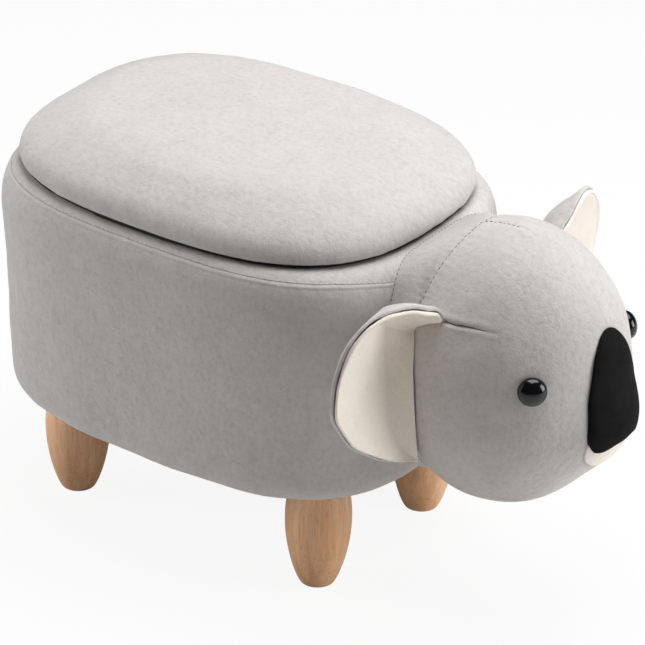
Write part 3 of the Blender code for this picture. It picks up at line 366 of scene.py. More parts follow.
def resampled(profile, spacing):
    """A profile's points at an even spacing, both ends kept."""
    line = np.array(profile, float)
    length = lengths_along(line)[-1]
    return at_lengths(line, np.linspace(0, length, max(2, int(round(length / spacing))) + 1))


def smooth_line(points, shares):
    """Points of the smooth curve through a list of points, by their shares of the way."""
    points = np.asarray(points, float)
    spans = len(points) - 1
    place = np.minimum(np.asarray(shares) * spans, spans - 1e-9)
    index = place.astype(int)
    part = (place - index)[:, None]
    before, start = points[np.maximum(index - 1, 0)], points[index]
    end, after = points[index + 1], points[np.minimum(index + 2, spans)]
    return (
        start
        + (end - before) * part / 2
        + (before * 2 - start * 5 + end * 4 - after) * part**2 / 2
        + (start * 3 - before - end * 3 + after) * part**3 / 2
    )


def lower_edge(radius, bottom, angles, inset=0.0):
    """A round lower edge, from below to the side, as (inset, height) pairs."""
    return [
        (inset + radius * (1 - math.sin(a)), bottom + radius * (1 - math.cos(a))) for a in angles
    ]


def upper_edge(inset, start, rise, power, angles):
    """A soft upper edge, from the side inwards, as (inset, height) pairs."""
    return [
        (inset * (1 - math.cos(a) ** (2 / power)), start + rise * math.sin(a) ** (2 / power))
        for a in angles
    ]


# Meshes


def linked(name, data):
    """A new object in the scene."""
    made = bpy.data.objects.new(name, data)
    bpy.context.scene.collection.objects.link(made)
    return made


def grid_object(name, grid, wrap_rows=False, cap_first=False, cap_last=False):
    """A mesh object from rings of points, closed along its rows or capped where asked."""
    rows, columns = grid.shape[:2]
    index = np.arange(rows * columns).reshape(rows, columns)
    low = index if wrap_rows else index[:-1]
    high = np.roll(index, -1, axis=0) if wrap_rows else index[1:]
    corners = [low, np.roll(low, -1, axis=1), np.roll(high, -1, axis=1), high]
    faces = np.stack(corners, axis=-1).reshape(-1, 4).tolist()
    if cap_first:
        faces.append(index[0][::-1].tolist())
    if cap_last:
        faces.append(index[-1].tolist())
    mesh = bpy.data.meshes.new(name)
    mesh.from_pydata(grid.reshape(-1, 3).tolist(), [], faces)
    mesh.shade_smooth()
    return linked(name, mesh)


def faces_out(made):
    """Turn a closed piece's faces outwards."""
    work = bmesh.new()
    work.from_mesh(made.data)
    bmesh.ops.recalc_face_normals(work, faces=work.faces)
    for face in work.faces:
        face.smooth = True
    for edge in work.edges:
        edge.smooth = not edge.is_manifold or edge.calc_face_angle() < SHARP_ANGLE
    work.to_mesh(made.data)
    work.free()
    return made


def solid(name, rings, wrap_rows=False):
    """A closed solid from rings of points: capped at both ends or closed along its rows."""
    return faces_out(grid_object(name, np.array(rings), wrap_rows, not wrap_rows, not wrap_rows))


def vertex_values(mesh, kind):
    """A mesh's points ("co") or their normals ("normal") as an array."""
    flat = np.empty(len(mesh.vertices) * 3)
    mesh.vertices.foreach_get(kind, flat)
    return flat.reshape(-1, 3)


def surface_of(made):
    """A piece's points and the ways that they face."""
    return vertex_values(made.data, "co"), vertex_values(made.data, "normal")


def set_points(made, points):
    """Move a piece's points."""
    made.data.vertices.foreach_set("co", points.reshape(-1))
    made.data.update()


def raised(made, relief):
    """Move a piece's points the way that they face, by a relief over them."""
    points, facing = surface_of(made)
    set_points(made, points + facing * relief(points)[:, None])
    return made


def dress(made, body, slot, nodes=(), material=None):
    """Give a piece its material, chosen by its slot unless one is given, hang it on its body and
    hide the nodes that it stands for.
    """
    made.data.materials.clear()
    made.data.materials.append(material or SLOT_MATERIALS[slot])
    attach(made, body)
    if nodes:
        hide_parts(*nodes)
    return made


# Cloth blown up over its filling


def puffed(made, voxel, pinned, cap, evening):
    """Blow a copy up as cloth, held where pinned says, and give back how its points moved."""
    scene = bpy.context.scene
    copy = made.copy()
    copy.data = made.data.copy()
    scene.collection.objects.link(copy)
    remesh = copy.modifiers.new("even mesh", "REMESH")
    remesh.mode = "VOXEL"
    remesh.voxel_size = voxel
    graph = bpy.context.evaluated_depsgraph_get()
    even = bpy.data.meshes.new_from_object(copy.evaluated_get(graph))
    copy.modifiers.clear()
    copy.data = even
    start = vertex_values(even, "co")
    group = copy.vertex_groups.new(name="held")
    for index, weight in enumerate(pinned(start)):
        if weight > 0:
            group.add([index], float(weight), "REPLACE")
    cloth = copy.modifiers.new("cloth", "CLOTH")
    cloth.settings.vertex_group_mass = "held"
    cloth.settings.effector_weights.gravity = 0
    for key, value in CLOTH_SETTINGS.items():
        setattr(cloth.settings, key, value)
    cloth.point_cache.frame_start = 1
    cloth.point_cache.frame_end = CLOTH_FRAMES
    for step in range(1, CLOTH_FRAMES + 1):
        scene.frame_set(step)
    graph = bpy.context.evaluated_depsgraph_get()
    moved = vertex_values(copy.evaluated_get(graph).data, "co") - start
    scene.frame_set(1)
    edges = np.empty(len(even.edges) * 2, int)
    even.edges.foreach_get("vertices", edges)
    edges = edges.reshape(-1, 2)
    neighbours = np.bincount(edges.reshape(-1), minlength=len(start))[:, None]
    for step in range(evening):
        total = np.zeros_like(moved)
        for near, far in (edges.T, edges.T[::-1]):
            np.add.at(total, near, moved[far])
        moved = (moved + total / neighbours) / 2
    bpy.data.objects.remove(copy)
    length = np.linalg.norm(moved, axis=1)
    moved *= (np.minimum(length, cap) / np.maximum(length, 1e-9))[:, None]
    tree = kdtree.KDTree(len(start))
    for index, point in enumerate(start):
        tree.insert(point, index)
    tree.balance()

    def field(points):
        given = np.zeros_like(points)
        for index, point in enumerate(points):
            near = tree.find_n(point, CLOTH_NEIGHBOURS)
            weights = np.array([1 / (found[2] + voxel / 4) ** 2 for found in near])
            given[index] = weights @ moved[[found[1] for found in near]] / weights.sum()
        return given

    return field


# Seams and stitches


def along_line(line, points):
    """Each point's distance to a line of points, and how far along the line that is."""
    best = np.full(len(points), 1e9)
    place = np.zeros(len(points))
    walked = 0.0
    for start, end in zip(line[:-1], line[1:]):
        run = end - start
        length = np.linalg.norm(run)
        share = clip01((points - start) @ run / length**2)
        distance = np.linalg.norm(points - start - share[:, None] * run, axis=1)
        nearer = distance < best
        best[nearer] = distance[nearer]
        place[nearer] = walked + share[nearer] * length
        walked += length
    return best, place


def seam_height(distance, place, depth, width):
    """How a sewn seam draws the cloth in, with small puckers beside it."""
    swell = 0.35 * depth * bell(distance - 3 * width, 2 * width)
    wave = np.cos(2 * math.pi * place / PUCKER_SPACING + 1.3 * np.sin(place / PUCKER_SPACING))
    fade = np.exp(-distance / PUCKER_REACH) * (1 - bell(distance, width))
    return swell - depth * bell(distance, width) + PUCKER_HEIGHT * wave * fade


def surface_tree(over):
    """A piece's surface, ready for finding its nearest places."""
    return BVHTree.FromObject(over, bpy.context.evaluated_depsgraph_get())


def stitches(name, line, over, thread):
    """A row of sewn stitches that lie in a piece's surface along a line."""
    tree = surface_tree(over)
    work = bmesh.new()
    scale = Matrix.Diagonal((STITCH_LENGTH / 2, STITCH_RADIUS, STITCH_RADIUS, 1))
    ends = walk(line, STITCH_SPACING)
    for start, after in zip(ends[:-1], ends[1:]):
        way = Vector(after - start).normalized()
        place, normal, _, _ = tree.find_nearest(Vector(start) + way * STITCH_LENGTH / 2)
        across = normal.cross(way).normalized()
        way = across.cross(normal).normalized()
        turn = Matrix((way, across, normal)).transposed().to_4x4()
        at = Matrix.Translation(place + normal * STITCH_LIFT) @ turn @ scale
        bmesh.ops.create_uvsphere(work, u_segments=6, v_segments=4, radius=1, matrix=at)
    mesh = bpy.data.meshes.new(name)
    work.to_mesh(mesh)
    work.free()
    mesh.shade_smooth()
    return dress(linked(name, mesh), "box", "grey_fabric", material=thread)


def painted_crease_shade(name, lines, over):
    """Painted crease shade: thin dark tubes sunk in a piece's surface along lines, fading out at
    their ends, in place of the shade in the folds.
    """
    tree = surface_tree(over)
    for number, line in enumerate(lines):
        middle = walk(line, 0.001)
        last = len(middle) - 1
        found = [tree.find_nearest(Vector(point)) for point in middle]
        rings = []
        for index in range(last + 1):
            near = found[max(index - 4, 0) : index + 5]
            place = sum((hit[0] for hit in near), Vector()) / len(near)
            normal = sum((hit[1] for hit in near), Vector()).normalized()
            way = Vector(middle[min(index + 1, last)] - middle[max(index - 1, 0)])
            across = normal.cross(way).normalized()
            radius = CREASE_RADIUS * max(0.15, 1 - (index / last) ** 2)
            sunk = place - normal * radius * 0.55
            spokes = [across * math.cos(a) + normal * math.sin(a) for a in full_turn(8)]
            rings.append([sunk + radius * spoke for spoke in spokes])
        tube = solid(f"{name}_{number + 1}", rings)
        # The tubes' dark colour is painted shade of the folds, not thread.
        dress(tube, "box", "grey_fabric", material=THREAD_AND_CREASE_SHADE)


# Materials


def node(tree, kind, **values):
    """A node with its settings and its unlinked inputs."""
    made = tree.nodes.new(kind)
    for key, value in values.items():
        if key in made.inputs:
            made.inputs[key].default_value = value
        else:
            setattr(made, key, value)
    return made


def noise_pattern(tree, place, scale, detail, roughness=0.5, stretch=None):
    """Noise over an object's coordinates, stretched where asked."""
    if stretch is not None:
        mapping = node(tree, "ShaderNodeMapping", Scale=stretch)
        tree.links.new(place, mapping.inputs["Vector"])
        place = mapping.outputs["Vector"]
    made = node(tree, "ShaderNodeTexNoise", Scale=scale, Detail=detail, Roughness=roughness)
    tree.links.new(place, made.inputs["Vector"])
    return made.outputs["Fac"]


def weave_pattern(tree, place, spacing):
    """Two crossing sets of threads."""
    made = node(tree, "ShaderNodeMath", operation="MULTIPLY")
    for index, direction in enumerate(("X", "Y")):
        values = {"Scale": 0.31 / spacing, "Distortion": 0.6, "bands_direction": direction}
        wave = node(tree, "ShaderNodeTexWave", **values)
        tree.links.new(place, wave.inputs["Vector"])
        tree.links.new(wave.outputs["Fac"], made.inputs[index])
    return made.outputs[0]


def colour_ramp(tree, source, stops):
    """A colour ramp over a value, from (position, colour) stops."""
    made = tree.nodes.new("ShaderNodeValToRGB")
    elements = made.color_ramp.elements
    elements[0].position, elements[-1].position = stops[0][0], stops[-1][0]
    elements[0].color, elements[-1].color = (*stops[0][1], 1), (*stops[-1][1], 1)
    for position, colour in stops[1:-1]:
        elements.new(position).color = (*colour, 1)
    tree.links.new(source, made.inputs["Fac"])
    return made.outputs["Color"]


def finish(name, colour, roughness, layers, rough_range=None, **values):
    """A Principled material from layers of (pattern, stops, bump depth, blend, share).

    The first layer has no blend and share. In the names of values, _ stands for a space.
    """
    made = bpy.data.materials.new(name)
    made.use_nodes = True
    made.diffuse_color = (*colour, 1)
    tree = made.node_tree
    shader = tree.nodes["Principled BSDF"]
    for key, value in {"Base_Color": (*colour, 1), "Roughness": roughness, **values}.items():
        shader.inputs[key.replace("_", " ")].default_value = value
    place = tree.nodes.new("ShaderNodeTexCoord").outputs["Object"]
    tint = normal = None
    for (pattern, *settings), stops, depth, *blending in layers:
        height = pattern(tree, place, *settings)
        shown = colour_ramp(tree, height, stops)
        if tint is not None:
            blend, share = blending
            mix = node(tree, "ShaderNodeMix", data_type="RGBA", blend_type=blend)
            mix.inputs[0].default_value = share
            tree.links.new(tint, mix.inputs[6])
            tree.links.new(shown, mix.inputs[7])
            shown = mix.outputs[2]
        tint = shown
        if depth:
            bump = node(tree, "ShaderNodeBump", Strength=1.0, Distance=depth)
            tree.links.new(height, bump.inputs["Height"])
            if normal is not None:
                tree.links.new(normal, bump.inputs["Normal"])
            normal = bump.outputs["Normal"]
    for source, key in ((tint, "Base Color"), (normal, "Normal")):
        if source is not None:
            tree.links.new(source, shader.inputs[key])
    if rough_range is not None:
        rough = node(tree, "ShaderNodeMapRange", **dict(zip(("To Min", "To Max"), rough_range)))
        tree.links.new(height, rough.inputs["Value"])
        tree.links.new(rough.outputs["Result"], shader.inputs["Roughness"])
    return made


def tones(colour, *stops):
    """Colour stops from (position, factor) stops over a colour."""
    return [(place, tuple(channel * factor for channel in colour)) for place, factor in stops]


def greys(*stops):
    """Colour stops from (position, grey) stops."""
    return tones((1, 1, 1), *stops)


def velvet(name, colour, sheen, spread, brushed):
    """Short-pile velvet: brushed patches, fine pile and a soft sheen."""
    patches = tones(colour, (0.3, 1 - spread), (0.5, 1), (0.72, 1 + spread))
    marks = greys((0.28, 0.86), (0.5, 0.96), (0.68, 1.0))
    layers = (
        ((noise_pattern, 48, 4.0, 0.6), patches, 0.0012),
        ((noise_pattern, 190, 2.5, 0.6), marks, 0.0006, "MULTIPLY", brushed),
        ((noise_pattern, 900, 2.0, 0.6), greys((0.3, 0.86), (0.7, 1.0)), 0.00025, "MULTIPLY", 0.8),
    )
    values = {"Sheen_Weight": sheen, "Sheen_Roughness": 0.45, "Specular_IOR_Level": 0.15}
    return finish(name, colour, 0.92, layers, **values)


def woven(name, colour, spacing=0.0012, depth=0.0002):
    """Plain woven cloth or thread."""
    threads = greys((0.0, 0.72), (0.6, 1.0))
    layers = (
        ((noise_pattern, 22, 4.0), tones(colour, (0.3, 0.82), (0.5, 1), (0.7, 1.18)), 0),
        ((weave_pattern, spacing), threads, depth, "MULTIPLY", 0.7),
    )
    return finish(name, colour, 0.9, layers, Sheen_Weight=0.1, Specular_IOR_Level=0.2)


def felt(name, colour):
    """Dense black felt with short loose fibres."""
    fibres = greys((0.35, 0.75), (0.75, 1.0))
    layers = (
        ((noise_pattern, 60, 3.0), tones(colour, (0.3, 0.65), (0.5, 1), (0.7, 1.35)), 0),
        ((noise_pattern, 700, 4.0, 0.75), fibres, 0.0003, "MULTIPLY", 0.6),
    )
    return finish(name, colour, 0.85, layers, Specular_IOR_Level=0.12)


def timber(name, pale, dark):
    """Straight-grained wood, its grain along Z: rings, streaks and pores."""
    middle = tuple((a + b) / 2 for a, b in zip(pale, dark))
    rings = ((0.3, middle), (0.5, pale), (0.72, middle))
    streaks = ((0.34, dark), (0.5, middle), (0.64, pale))
    pores = (noise_pattern, 1.0, 2.0, 0.5, (1100, 1100, 30))
    layers = (
        ((noise_pattern, 1.0, 3.0, 0.5, (42, 42, 4)), rings, 0),
        ((noise_pattern, 1.0, 5.0, 0.6, (130, 130, 7)), streaks, 0.00012, "MIX", 0.55),
        (pores, greys((0.32, 0.6), (0.46, 1.0)), 0.00008, "MULTIPLY", 0.5),
    )
    return finish(name, pale, 0.45, layers, Coat_Weight=0.15, Coat_Roughness=0.35)


def plywood(name, dark, middle, pale):
    """Plywood faces with a pale grain along X."""
    grain = (noise_pattern, 1.0, 5.0, 0.6, (8, 150, 150))
    stops = ((0.3, dark), (0.5, middle), (0.7, pale))
    return finish(name, middle, 0.6, [(grain, stops, 0.0001)])


def brushed_steel(name):
    """Zinc-plated steel with fine scratches."""
    scratches = (noise_pattern, 1.0, 3.0, 0.6, (60, 900, 900))
    layers = [(scratches, greys((0.3, 0.44), (0.7, 0.62)), 0)]
    return finish(name, (0.56, 0.56, 0.57), 0.32, layers, (0.25, 0.45), Metallic=1.0)


def moulded(name, colour, roughness):
    """Moulded plastic with a faint orange-peel surface."""
    stops = tones(colour, (0.3, 0.9), (0.7, 1.1))
    return finish(name, colour, roughness, [((noise_pattern, 500, 2.0), stops, 0.00001)])


def sponge(name, colour):
    """Open-cell foam or loose filling."""
    stops = tones(colour, (0.3, 0.8), (0.6, 1.1))
    return finish(name, colour, 0.95, [((noise_pattern, 600, 2.0), stops, 0.0004)])


# Dark thread of the collar, brow and neck stitches, also used as the painted shade of the dart
# creases.
THREAD_AND_CREASE_SHADE = woven("dark_thread_and_crease_shade", (0.16, 0.152, 0.148), spacing=0.0004, depth=0.00005)
PALE_THREAD = woven("pale_grey_thread", (0.85, 0.82, 0.79), spacing=0.0004, depth=0.00005)
SLOT_MATERIALS = {
    "grey_fabric": velvet("grey_velvet", (0.636, 0.604, 0.577), 0.3, 0.035, 0.9),
    "cream_fabric": velvet("cream_velvet", (1.0, 0.905, 0.80), 0.4, 0.0, 0.15),
    "black_felt": felt("black_felt", (0.007, 0.007, 0.0073)),
    "black_cloth": woven("black_weave", (0.018, 0.018, 0.020)),
    "black_plastic": moulded("eye_plastic", (0.006, 0.006, 0.007), 0.11),
    "white_plastic": moulded("white_plastic", (0.75, 0.75, 0.73), 0.4),
    "foam": sponge("foam", (0.72, 0.64, 0.42)),
    "filling": sponge("filling", (0.85, 0.85, 0.83)),
    "plywood": plywood("plywood_face", (0.42, 0.28, 0.16), (0.58, 0.41, 0.25), (0.68, 0.51, 0.33)),
    "leg_wood": timber("leg_wood", (1.0, 0.63, 0.35), (0.78, 0.35, 0.16)),
    "steel": brushed_steel("zinc_steel"),
}


def dress_frame():
    """Give each node of the frame the finish of its slot."""
    for entry in frame["record"]["subparts"]:
        made = frame["nodes"][entry["node"]]
        made.data.materials.clear()
        made.data.materials.append(SLOT_MATERIALS[entry["material_slot"]])


# Box


def shoulder_inset(height):
    """How far inside its side the box's soft upper edge lies at a height."""
    turn = np.arcsin(clip01((height - SHOULDER_START) / SHOULDER_HEIGHT) ** (SHOULDER_POWER / 2))
    return SHOULDER_INSET * (1 - np.maximum(np.cos(turn), 0) ** (2 / SHOULDER_POWER))


def dip_share(inset, height):
    """How much of the seam's dip a place on the box's side or upper edge takes."""
    above = height - (BODY_TOP - SEAM_DROP)
    share = 1 - above / SEAM_DROP if above > 0 else 1 + above / SEAM_DIP_FADE
    return clip01(share) * clip01((SHOULDER_INSET - inset) / SEAM_DIP_INSET_FADE)


def body_rings(profile, columns):
    """Rings of the box's form from (inset, height) pairs, the seam dipping beside the neck."""
    turns = full_turn(columns)
    angles = np.arctan2(np.sin(turns), np.cos(turns))
    share = np.clip((SEAM_DIP_START - np.abs(angles)) / SEAM_DIP_REACH, 0, SEAM_DIP_LIMIT)
    corner = CORNER_SOFTNESS * bell(angles - CORNER_ANGLE, CORNER_REACH)
    rings = []
    for inset, height in profile:
        inset += BODY_TAPER * max(0.0, SHOULDER_START - height) / (SHOULDER_START - BODY_LOW.z)
        lower = SEAM_DIP * share**2 * dip_share(inset, height)
        insets = inset + shoulder_inset(height - lower) - shoulder_inset(height)
        flat = polar_oval(BODY_HALF.x - insets, BODY_HALF.y - insets, BODY_POWER, columns)
        soft = corner * clip01(1 - inset / RIM_WIDTH)
        soft *= clip01((height - CORNER_START) / (SHOULDER_START - CORNER_START))
        flat *= (1 - soft / np.linalg.norm(flat, axis=1))[:, None]
        rings.append(np.column_stack([flat[:, 0] + BODY_CENTRE_X, flat[:, 1], height - lower]))
    return np.array(rings)


def shoulder(angles):
    """The soft upper edge of the box at angles round it, as (inset, height) pairs."""
    return upper_edge(SHOULDER_INSET, SHOULDER_START, SHOULDER_HEIGHT, SHOULDER_POWER, angles)


def seam_angle():
    """Where round the shoulder the seam lies."""
    return math.asin(((SHOULDER_HEIGHT - SEAM_DROP) / SHOULDER_HEIGHT) ** (SHOULDER_POWER / 2))


def side_profile():
    """The box's side from its hem up to the seam."""
    edge = lower_edge(UNDERSIDE_RADIUS, BODY_LOW.z, np.linspace(0, QUARTER, 13))
    upper = shoulder(np.linspace(0, seam_angle(), 41))
    return [(UNDERSIDE_RADIUS + HEM_WIDTH, BODY_LOW.z)] + edge + upper


def rim_profile():
    """The rim facing from the seam over the top and down inside."""
    points = shoulder(np.linspace(seam_angle(), QUARTER, 21))
    points += [(RIM_WIDTH - CLOTH, BODY_TOP), (RIM_WIDTH, BODY_TOP - CLOTH)]
    return points + [(RIM_WIDTH, BODY_TOP - RIM_TURN_IN)]


def under_cloth(line):
    """The inner side of a cloth's profile, which lies right of its direction."""
    run = np.gradient(line, axis=0)
    run /= np.maximum(np.linalg.norm(run, axis=1), 1e-9)[:, None]
    return line + np.column_stack([run[:, 1], -run[:, 0]]) * CLOTH


def ring_lengths(rings):
    """How far round each ring its points lie."""
    return np.cumsum(np.linalg.norm(rings - np.roll(rings, 1, axis=1), axis=2), axis=1)


def stitch_dimple(around):
    """How deep the stitches draw the cloth in, by the length round the box."""
    return 0.6 + 0.4 * np.cos(2 * math.pi * around / WELT_STITCH_SPACING)


def box_velvet(name, outer, skip, relief):
    """Velvet over a profile of the box, with relief on its outer side; also its outer rings."""
    rings = body_rings(outer, BODY_COLUMNS)
    inner = body_rings(under_cloth(outer)[::skip][::-1], BODY_COLUMNS)
    made = solid(name, np.concatenate([rings, inner]), wrap_rows=True)
    points, facing = surface_of(made)
    count = len(rings) * BODY_COLUMNS
    along = np.repeat(lengths_along(outer), BODY_COLUMNS)
    height = relief(points[:count], along, ring_lengths(rings).reshape(-1))
    points[:count] += facing[:count] * height[:, None]
    set_points(made, points)
    return made, rings


def box_cover():
    """The velvet round the box, with the welted seam below the rim."""
    profile = side_profile()
    outer = np.concatenate([resampled(profile[:-12], 0.005)[:-1], resampled(profile[-12:], 0.0009)])

    def relief(points, along, around):
        drop = along[-1] - along
        welt = 1 / (1 + np.exp((drop - WELT_WIDTH) / ROW_WIDTH)) * (1 - bell(drop, WELT_EDGE))
        row = WELT_ROW_DEPTH * bell(drop - WELT_WIDTH, WELT_ROW_WIDTH)
        row += JOINT_ROW_DEPTH * bell(drop - JOINT_ROW, ROW_WIDTH)
        row *= stitch_dimple(around) * np.exp(-drop / 0.02)
        steady = clip01((drop - 0.004) / 0.03)
        return WELT_HEIGHT * welt - row + uneven(points, BOX_WAVES) * steady

    made, _ = box_velvet("box_cover", outer, 4, relief)
    return dress(made, "box", "grey_fabric", ("body_cover", "side_padding"))


def rim_cover():
    """The velvet strip over the rim, from the seam to inside the opening."""
    outer = resampled(rim_profile(), 0.0012)

    def relief(points, along, around):
        wave = PUCKER_HEIGHT * np.cos(2 * math.pi * around / PUCKER_SPACING)
        pucker = wave * np.exp(-along / 0.005) * (1 - np.exp(-along / 0.002))
        return pucker - JOINT_ROW_DEPTH * stitch_dimple(around) * bell(along + JOINT_ROW, ROW_WIDTH)

    made, rings = box_velvet("rim_cover", outer, 3, relief)
    return dress(made, "box", "grey_fabric", ("rim_facing",))


def box_row(inset, height):
    """A closed line round the box at a place of its profile."""
    ring = body_rings([(inset, height)], 240)[0]
    return np.vstack([ring, ring[:1]])


# Lid


def lid_oval(inset):
    """The lid's outline, drawn in by an inset."""
    return polar_oval(LID_HALF.x - inset, LID_HALF.y - inset, LID_POWER, LID_COLUMNS)


def lid_profile():
    """The lid's outer profile from its hem round the lower edge to the foot of the crown."""
    edge = lower_edge(LID_EDGE_RADIUS, LID_LOW.z, np.linspace(0, QUARTER, 10, endpoint=False))
    start = LID_LOW.z + LID_EDGE_RADIUS
    rise = LID_HIGH.z - LID_CROWN_RISE - start
    crown = upper_edge(LID_CROWN_INSET, start, rise, LID_CROWN_POWER, np.linspace(0, QUARTER, 41))
    return [(LID_EDGE_RADIUS + LID_HEM_WIDTH, LID_LOW.z)] + edge + crown


def lid_cushion():
    """The crowned cushion, its cloth drawn tight over foam."""
    low, high = LID_LOW.z, LID_HIGH.z
    outlines = [(lid_oval(inset), height) for inset, height in resampled(lid_profile(), 0.004)]
    shares = 1 - np.arange(1, 30) / 30
    outlines += [(outlines[-1][0] * share, high - LID_CROWN_RISE * share**2) for share in shares]
    made = solid("lid_cushion", level_rings(outlines, LID_MIDDLE))
    field = puffed(made, 0.006, lambda p: clip01(1 - (p[:, 2] - low) / 0.008), 0.0035, evening=60)
    points, facing = surface_of(made)
    rise = clip01((points[:, 2] - low) / (high - low))
    inward = -0.0015 * clip01((points[:, 2] - low - 0.012) / 0.02)
    tucks = uneven(points * np.array([1, 1, 0.15]), LID_TUCKS) * (1 - rise) ** 2
    height = inward + uneven(points, LID_DENTS) * rise + tucks
    move = field(points) + facing * height[:, None]
    move[points[:, 2] < low + 0.0012] = 0
    set_points(made, points + move)
    return dress(made, "lid", "grey_fabric", ("lid_cover", "lid_foam"))


def closing_cloth():
    """The black padded cloth under the lid, whose edge shows as a dark line above the rim."""
    across = polar_oval(1, 1, LID_POWER, LID_COLUMNS)[:, 1] * LID_HALF.y
    hinge_side = clip01((across - UNDERLAY_HINGE_SIDE) / 0.02)
    inset = UNDERLAY_INSET + (UNDERLAY_HINGE_INSET - UNDERLAY_INSET) * hinge_side
    ring = lid_oval(inset) + LID_MIDDLE
    for place in ("front", "rear"):
        low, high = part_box("hinge_leaf_lid_" + place)
        beside = (ring[:, 0] > low.x - HINGE_SIDE_GAP) & (ring[:, 0] < high.x + HINGE_SIDE_GAP)
        beside &= ring[:, 1] > 0
        ring[beside, 1] = np.minimum(ring[beside, 1], low.y - HINGE_END_GAP)
    slack = (ring[:, 0] > SLACK_FROM) & (ring[:, 0] < SLACK_TO) & (ring[:, 1] < 0)
    edge_drop = np.where(slack, UNDERLAY_SLACK, UNDERLAY_DROP)
    straight = low.y - HINGE_ROW_GAP
    behind = ring[:, 1] > straight
    parts = np.linspace(0, 1, 7)
    places = drawn_in(ring, LID_MIDDLE, 1 - 0.01 * parts)
    for place, part in zip(places, parts):
        place[behind, 1] += (straight - place[behind, 1]) * part
    places += drawn_in(places[-1], LID_MIDDLE, np.linspace(1, 0.02, 46)[1:])
    top = np.full(LID_COLUMNS, LID_LOW.z + CLOTH / 2)
    grid = [np.column_stack([flat, top]) for flat in drawn_in(ring, LID_MIDDLE, (0.02, 1))]
    for place in places:
        wrinkles = uneven(np.column_stack([place, np.zeros(LID_COLUMNS)]), UNDERLAY_WRINKLES)
        inside = clip01(np.linalg.norm(ring - place, axis=1) / UNDERLAY_EDGE)
        drop = edge_drop + (UNDERLAY_MIDDLE_DROP + wrinkles - edge_drop) * inside
        grid.append(np.column_stack([place, LID_LOW.z - np.minimum(drop, UNDERLAY_SLACK)]))
    made = solid("closing_cloth", grid)
    return dress(made, "lid", "black_cloth", ("lid_panel",))


# Black cloth inside the box and below it


def cloth_sheet(name, grid, lift, nodes, **cut):
    """A sheet of black cloth in the box from rows of points that run to its middle."""
    made = raised(grid_object(name, np.array(grid), cap_last=True), lift)
    thickness = made.modifiers.new("thickness", "SOLIDIFY")
    thickness.thickness = SHEET_CLOTH
    thickness.offset = 1
    seen = made.evaluated_get(bpy.context.evaluated_depsgraph_get())
    made.data = bpy.data.meshes.new_from_object(seen)
    made.modifiers.clear()
    faces_out(made)
    return dress(made, "box", "black_cloth", nodes)


def outline_area(ring):
    """The area inside a flat ring of points."""
    x, y = ring[:, 0], ring[:, 1]
    return 0.5 * abs(np.dot(x, np.roll(y, -1)) - np.dot(y, np.roll(x, -1)))


def storage_cup():
    """The cloth cup that lines the storage space, in soft upright folds, hemmed at its edge."""
    low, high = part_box("storage_lining")
    inset = BODY_HALF.x - (high.x - low.x) / 2
    profile = [(inset, height) for height in np.linspace(high.z, low.z + CUP_CORNER, 48)]
    profile += lower_edge(CUP_CORNER, low.z, np.linspace(QUARTER, 0, 7)[1:], inset)
    rings = body_rings(profile, CUP_COLUMNS)
    centre = np.array([BODY_CENTRE_X, 0, low.z])
    floor = drawn_in(rings[-1], centre, np.linspace(1, 0.03, 30)[1:])
    height = high.z - low.z

    def lift(points):
        rise = (points[:, 2] - low.z) / height
        wall = clip01(rise / 0.2)
        folds = slack_cloth(points * np.array([1, 1, 0.12]), 0.06, 31)
        dents = slack_cloth(points, 0.05, 32)
        hem = clip01((points[:, 2] - high.z + LINING_HEM) / HEM_EDGE)
        raised = CUP_FOLDS * folds * np.sin(math.pi * clip01(rise)) * wall
        return raised + CUP_DENTS * dents * (1 - wall) + LINING_HEM_HEIGHT * hem

    around = ring_lengths(rings[:1])[0, -1]
    return cloth_sheet(
        "storage_cup", [*rings, *floor], lift, ("storage_lining",),
        flat=(around, height + high.y - low.y), held="hung", rests_on=["rim_ring", "base_board"],
        area=around * height + outline_area(rings[-1]),
    )


def underside_cloth():
    """The cloth under the stool, hemmed, taut at the legs and a little slack between them."""
    low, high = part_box("bottom_cloth")
    inset = BODY_HALF.x - (high.x - low.x) / 2 - BODY_TAPER
    rim = body_rings([(inset, low.z)], CUP_COLUMNS)[0]
    rim[:, 2] = low.z
    centre = np.array([BODY_CENTRE_X, 0, low.z])
    rows = drawn_in(rim, centre, 1 - np.linspace(0, 1, 60) ** 1.2 * 0.97)
    legs_at = [sum(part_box("leg_" + place), Vector()) / 2 for place in LEG_NAMES]
    rim_reach = np.linalg.norm((np.vstack([rim, rim[:1]]) - centre)[:, :2], axis=1)

    def lift(points):
        x, y = points[:, 0] - BODY_CENTRE_X, points[:, 1]
        away = np.min([np.hypot(x - leg.x + BODY_CENTRE_X, y - leg.y) for leg in legs_at], axis=0)
        free = clip01((away - LEG_CLEARANCE) / 0.03)
        turns = np.linspace(0, 2 * math.pi, CUP_COLUMNS + 1)
        reach = np.interp(np.arctan2(y, x) % (2 * math.pi), turns, rim_reach)
        hem = clip01((np.hypot(x, y) - reach + UNDERSIDE_HEM) / HEM_EDGE)
        slack = UNDERSIDE_SLACK * slack_cloth(points, 0.08, 41)
        return -free * (slack * (1 - hem) + UNDERSIDE_HEM_HEIGHT * hem)

    return cloth_sheet(
        "underside_cloth", rows, lift, ("bottom_cloth",),
        flat=(high.y - low.y, high.x - low.x), held="stretched", rests_on=["base_board"],
        area=outline_area(rim),
    )


# Head


def muzzle_rise(across, up):
    """How far the muzzle stands out from the head's round form."""
    reach = (across / (MUZZLE_WIDTH / 2)) ** 2 + ((up + MUZZLE_DROP) / (MUZZLE_HEIGHT / 2)) ** 2
    return MUZZLE_RISE * np.maximum(0.0, 1 - reach) ** 2


def head_front(across, up):
    """The front of the head at places seen from ahead, from the head's centre."""
    share = np.maximum(0, 1 - (across / HEAD_HALF.y) ** 2 - (up / HEAD_HALF.z) ** 2)
    return HEAD_HALF.x * np.sqrt(share) + muzzle_rise(across, up)


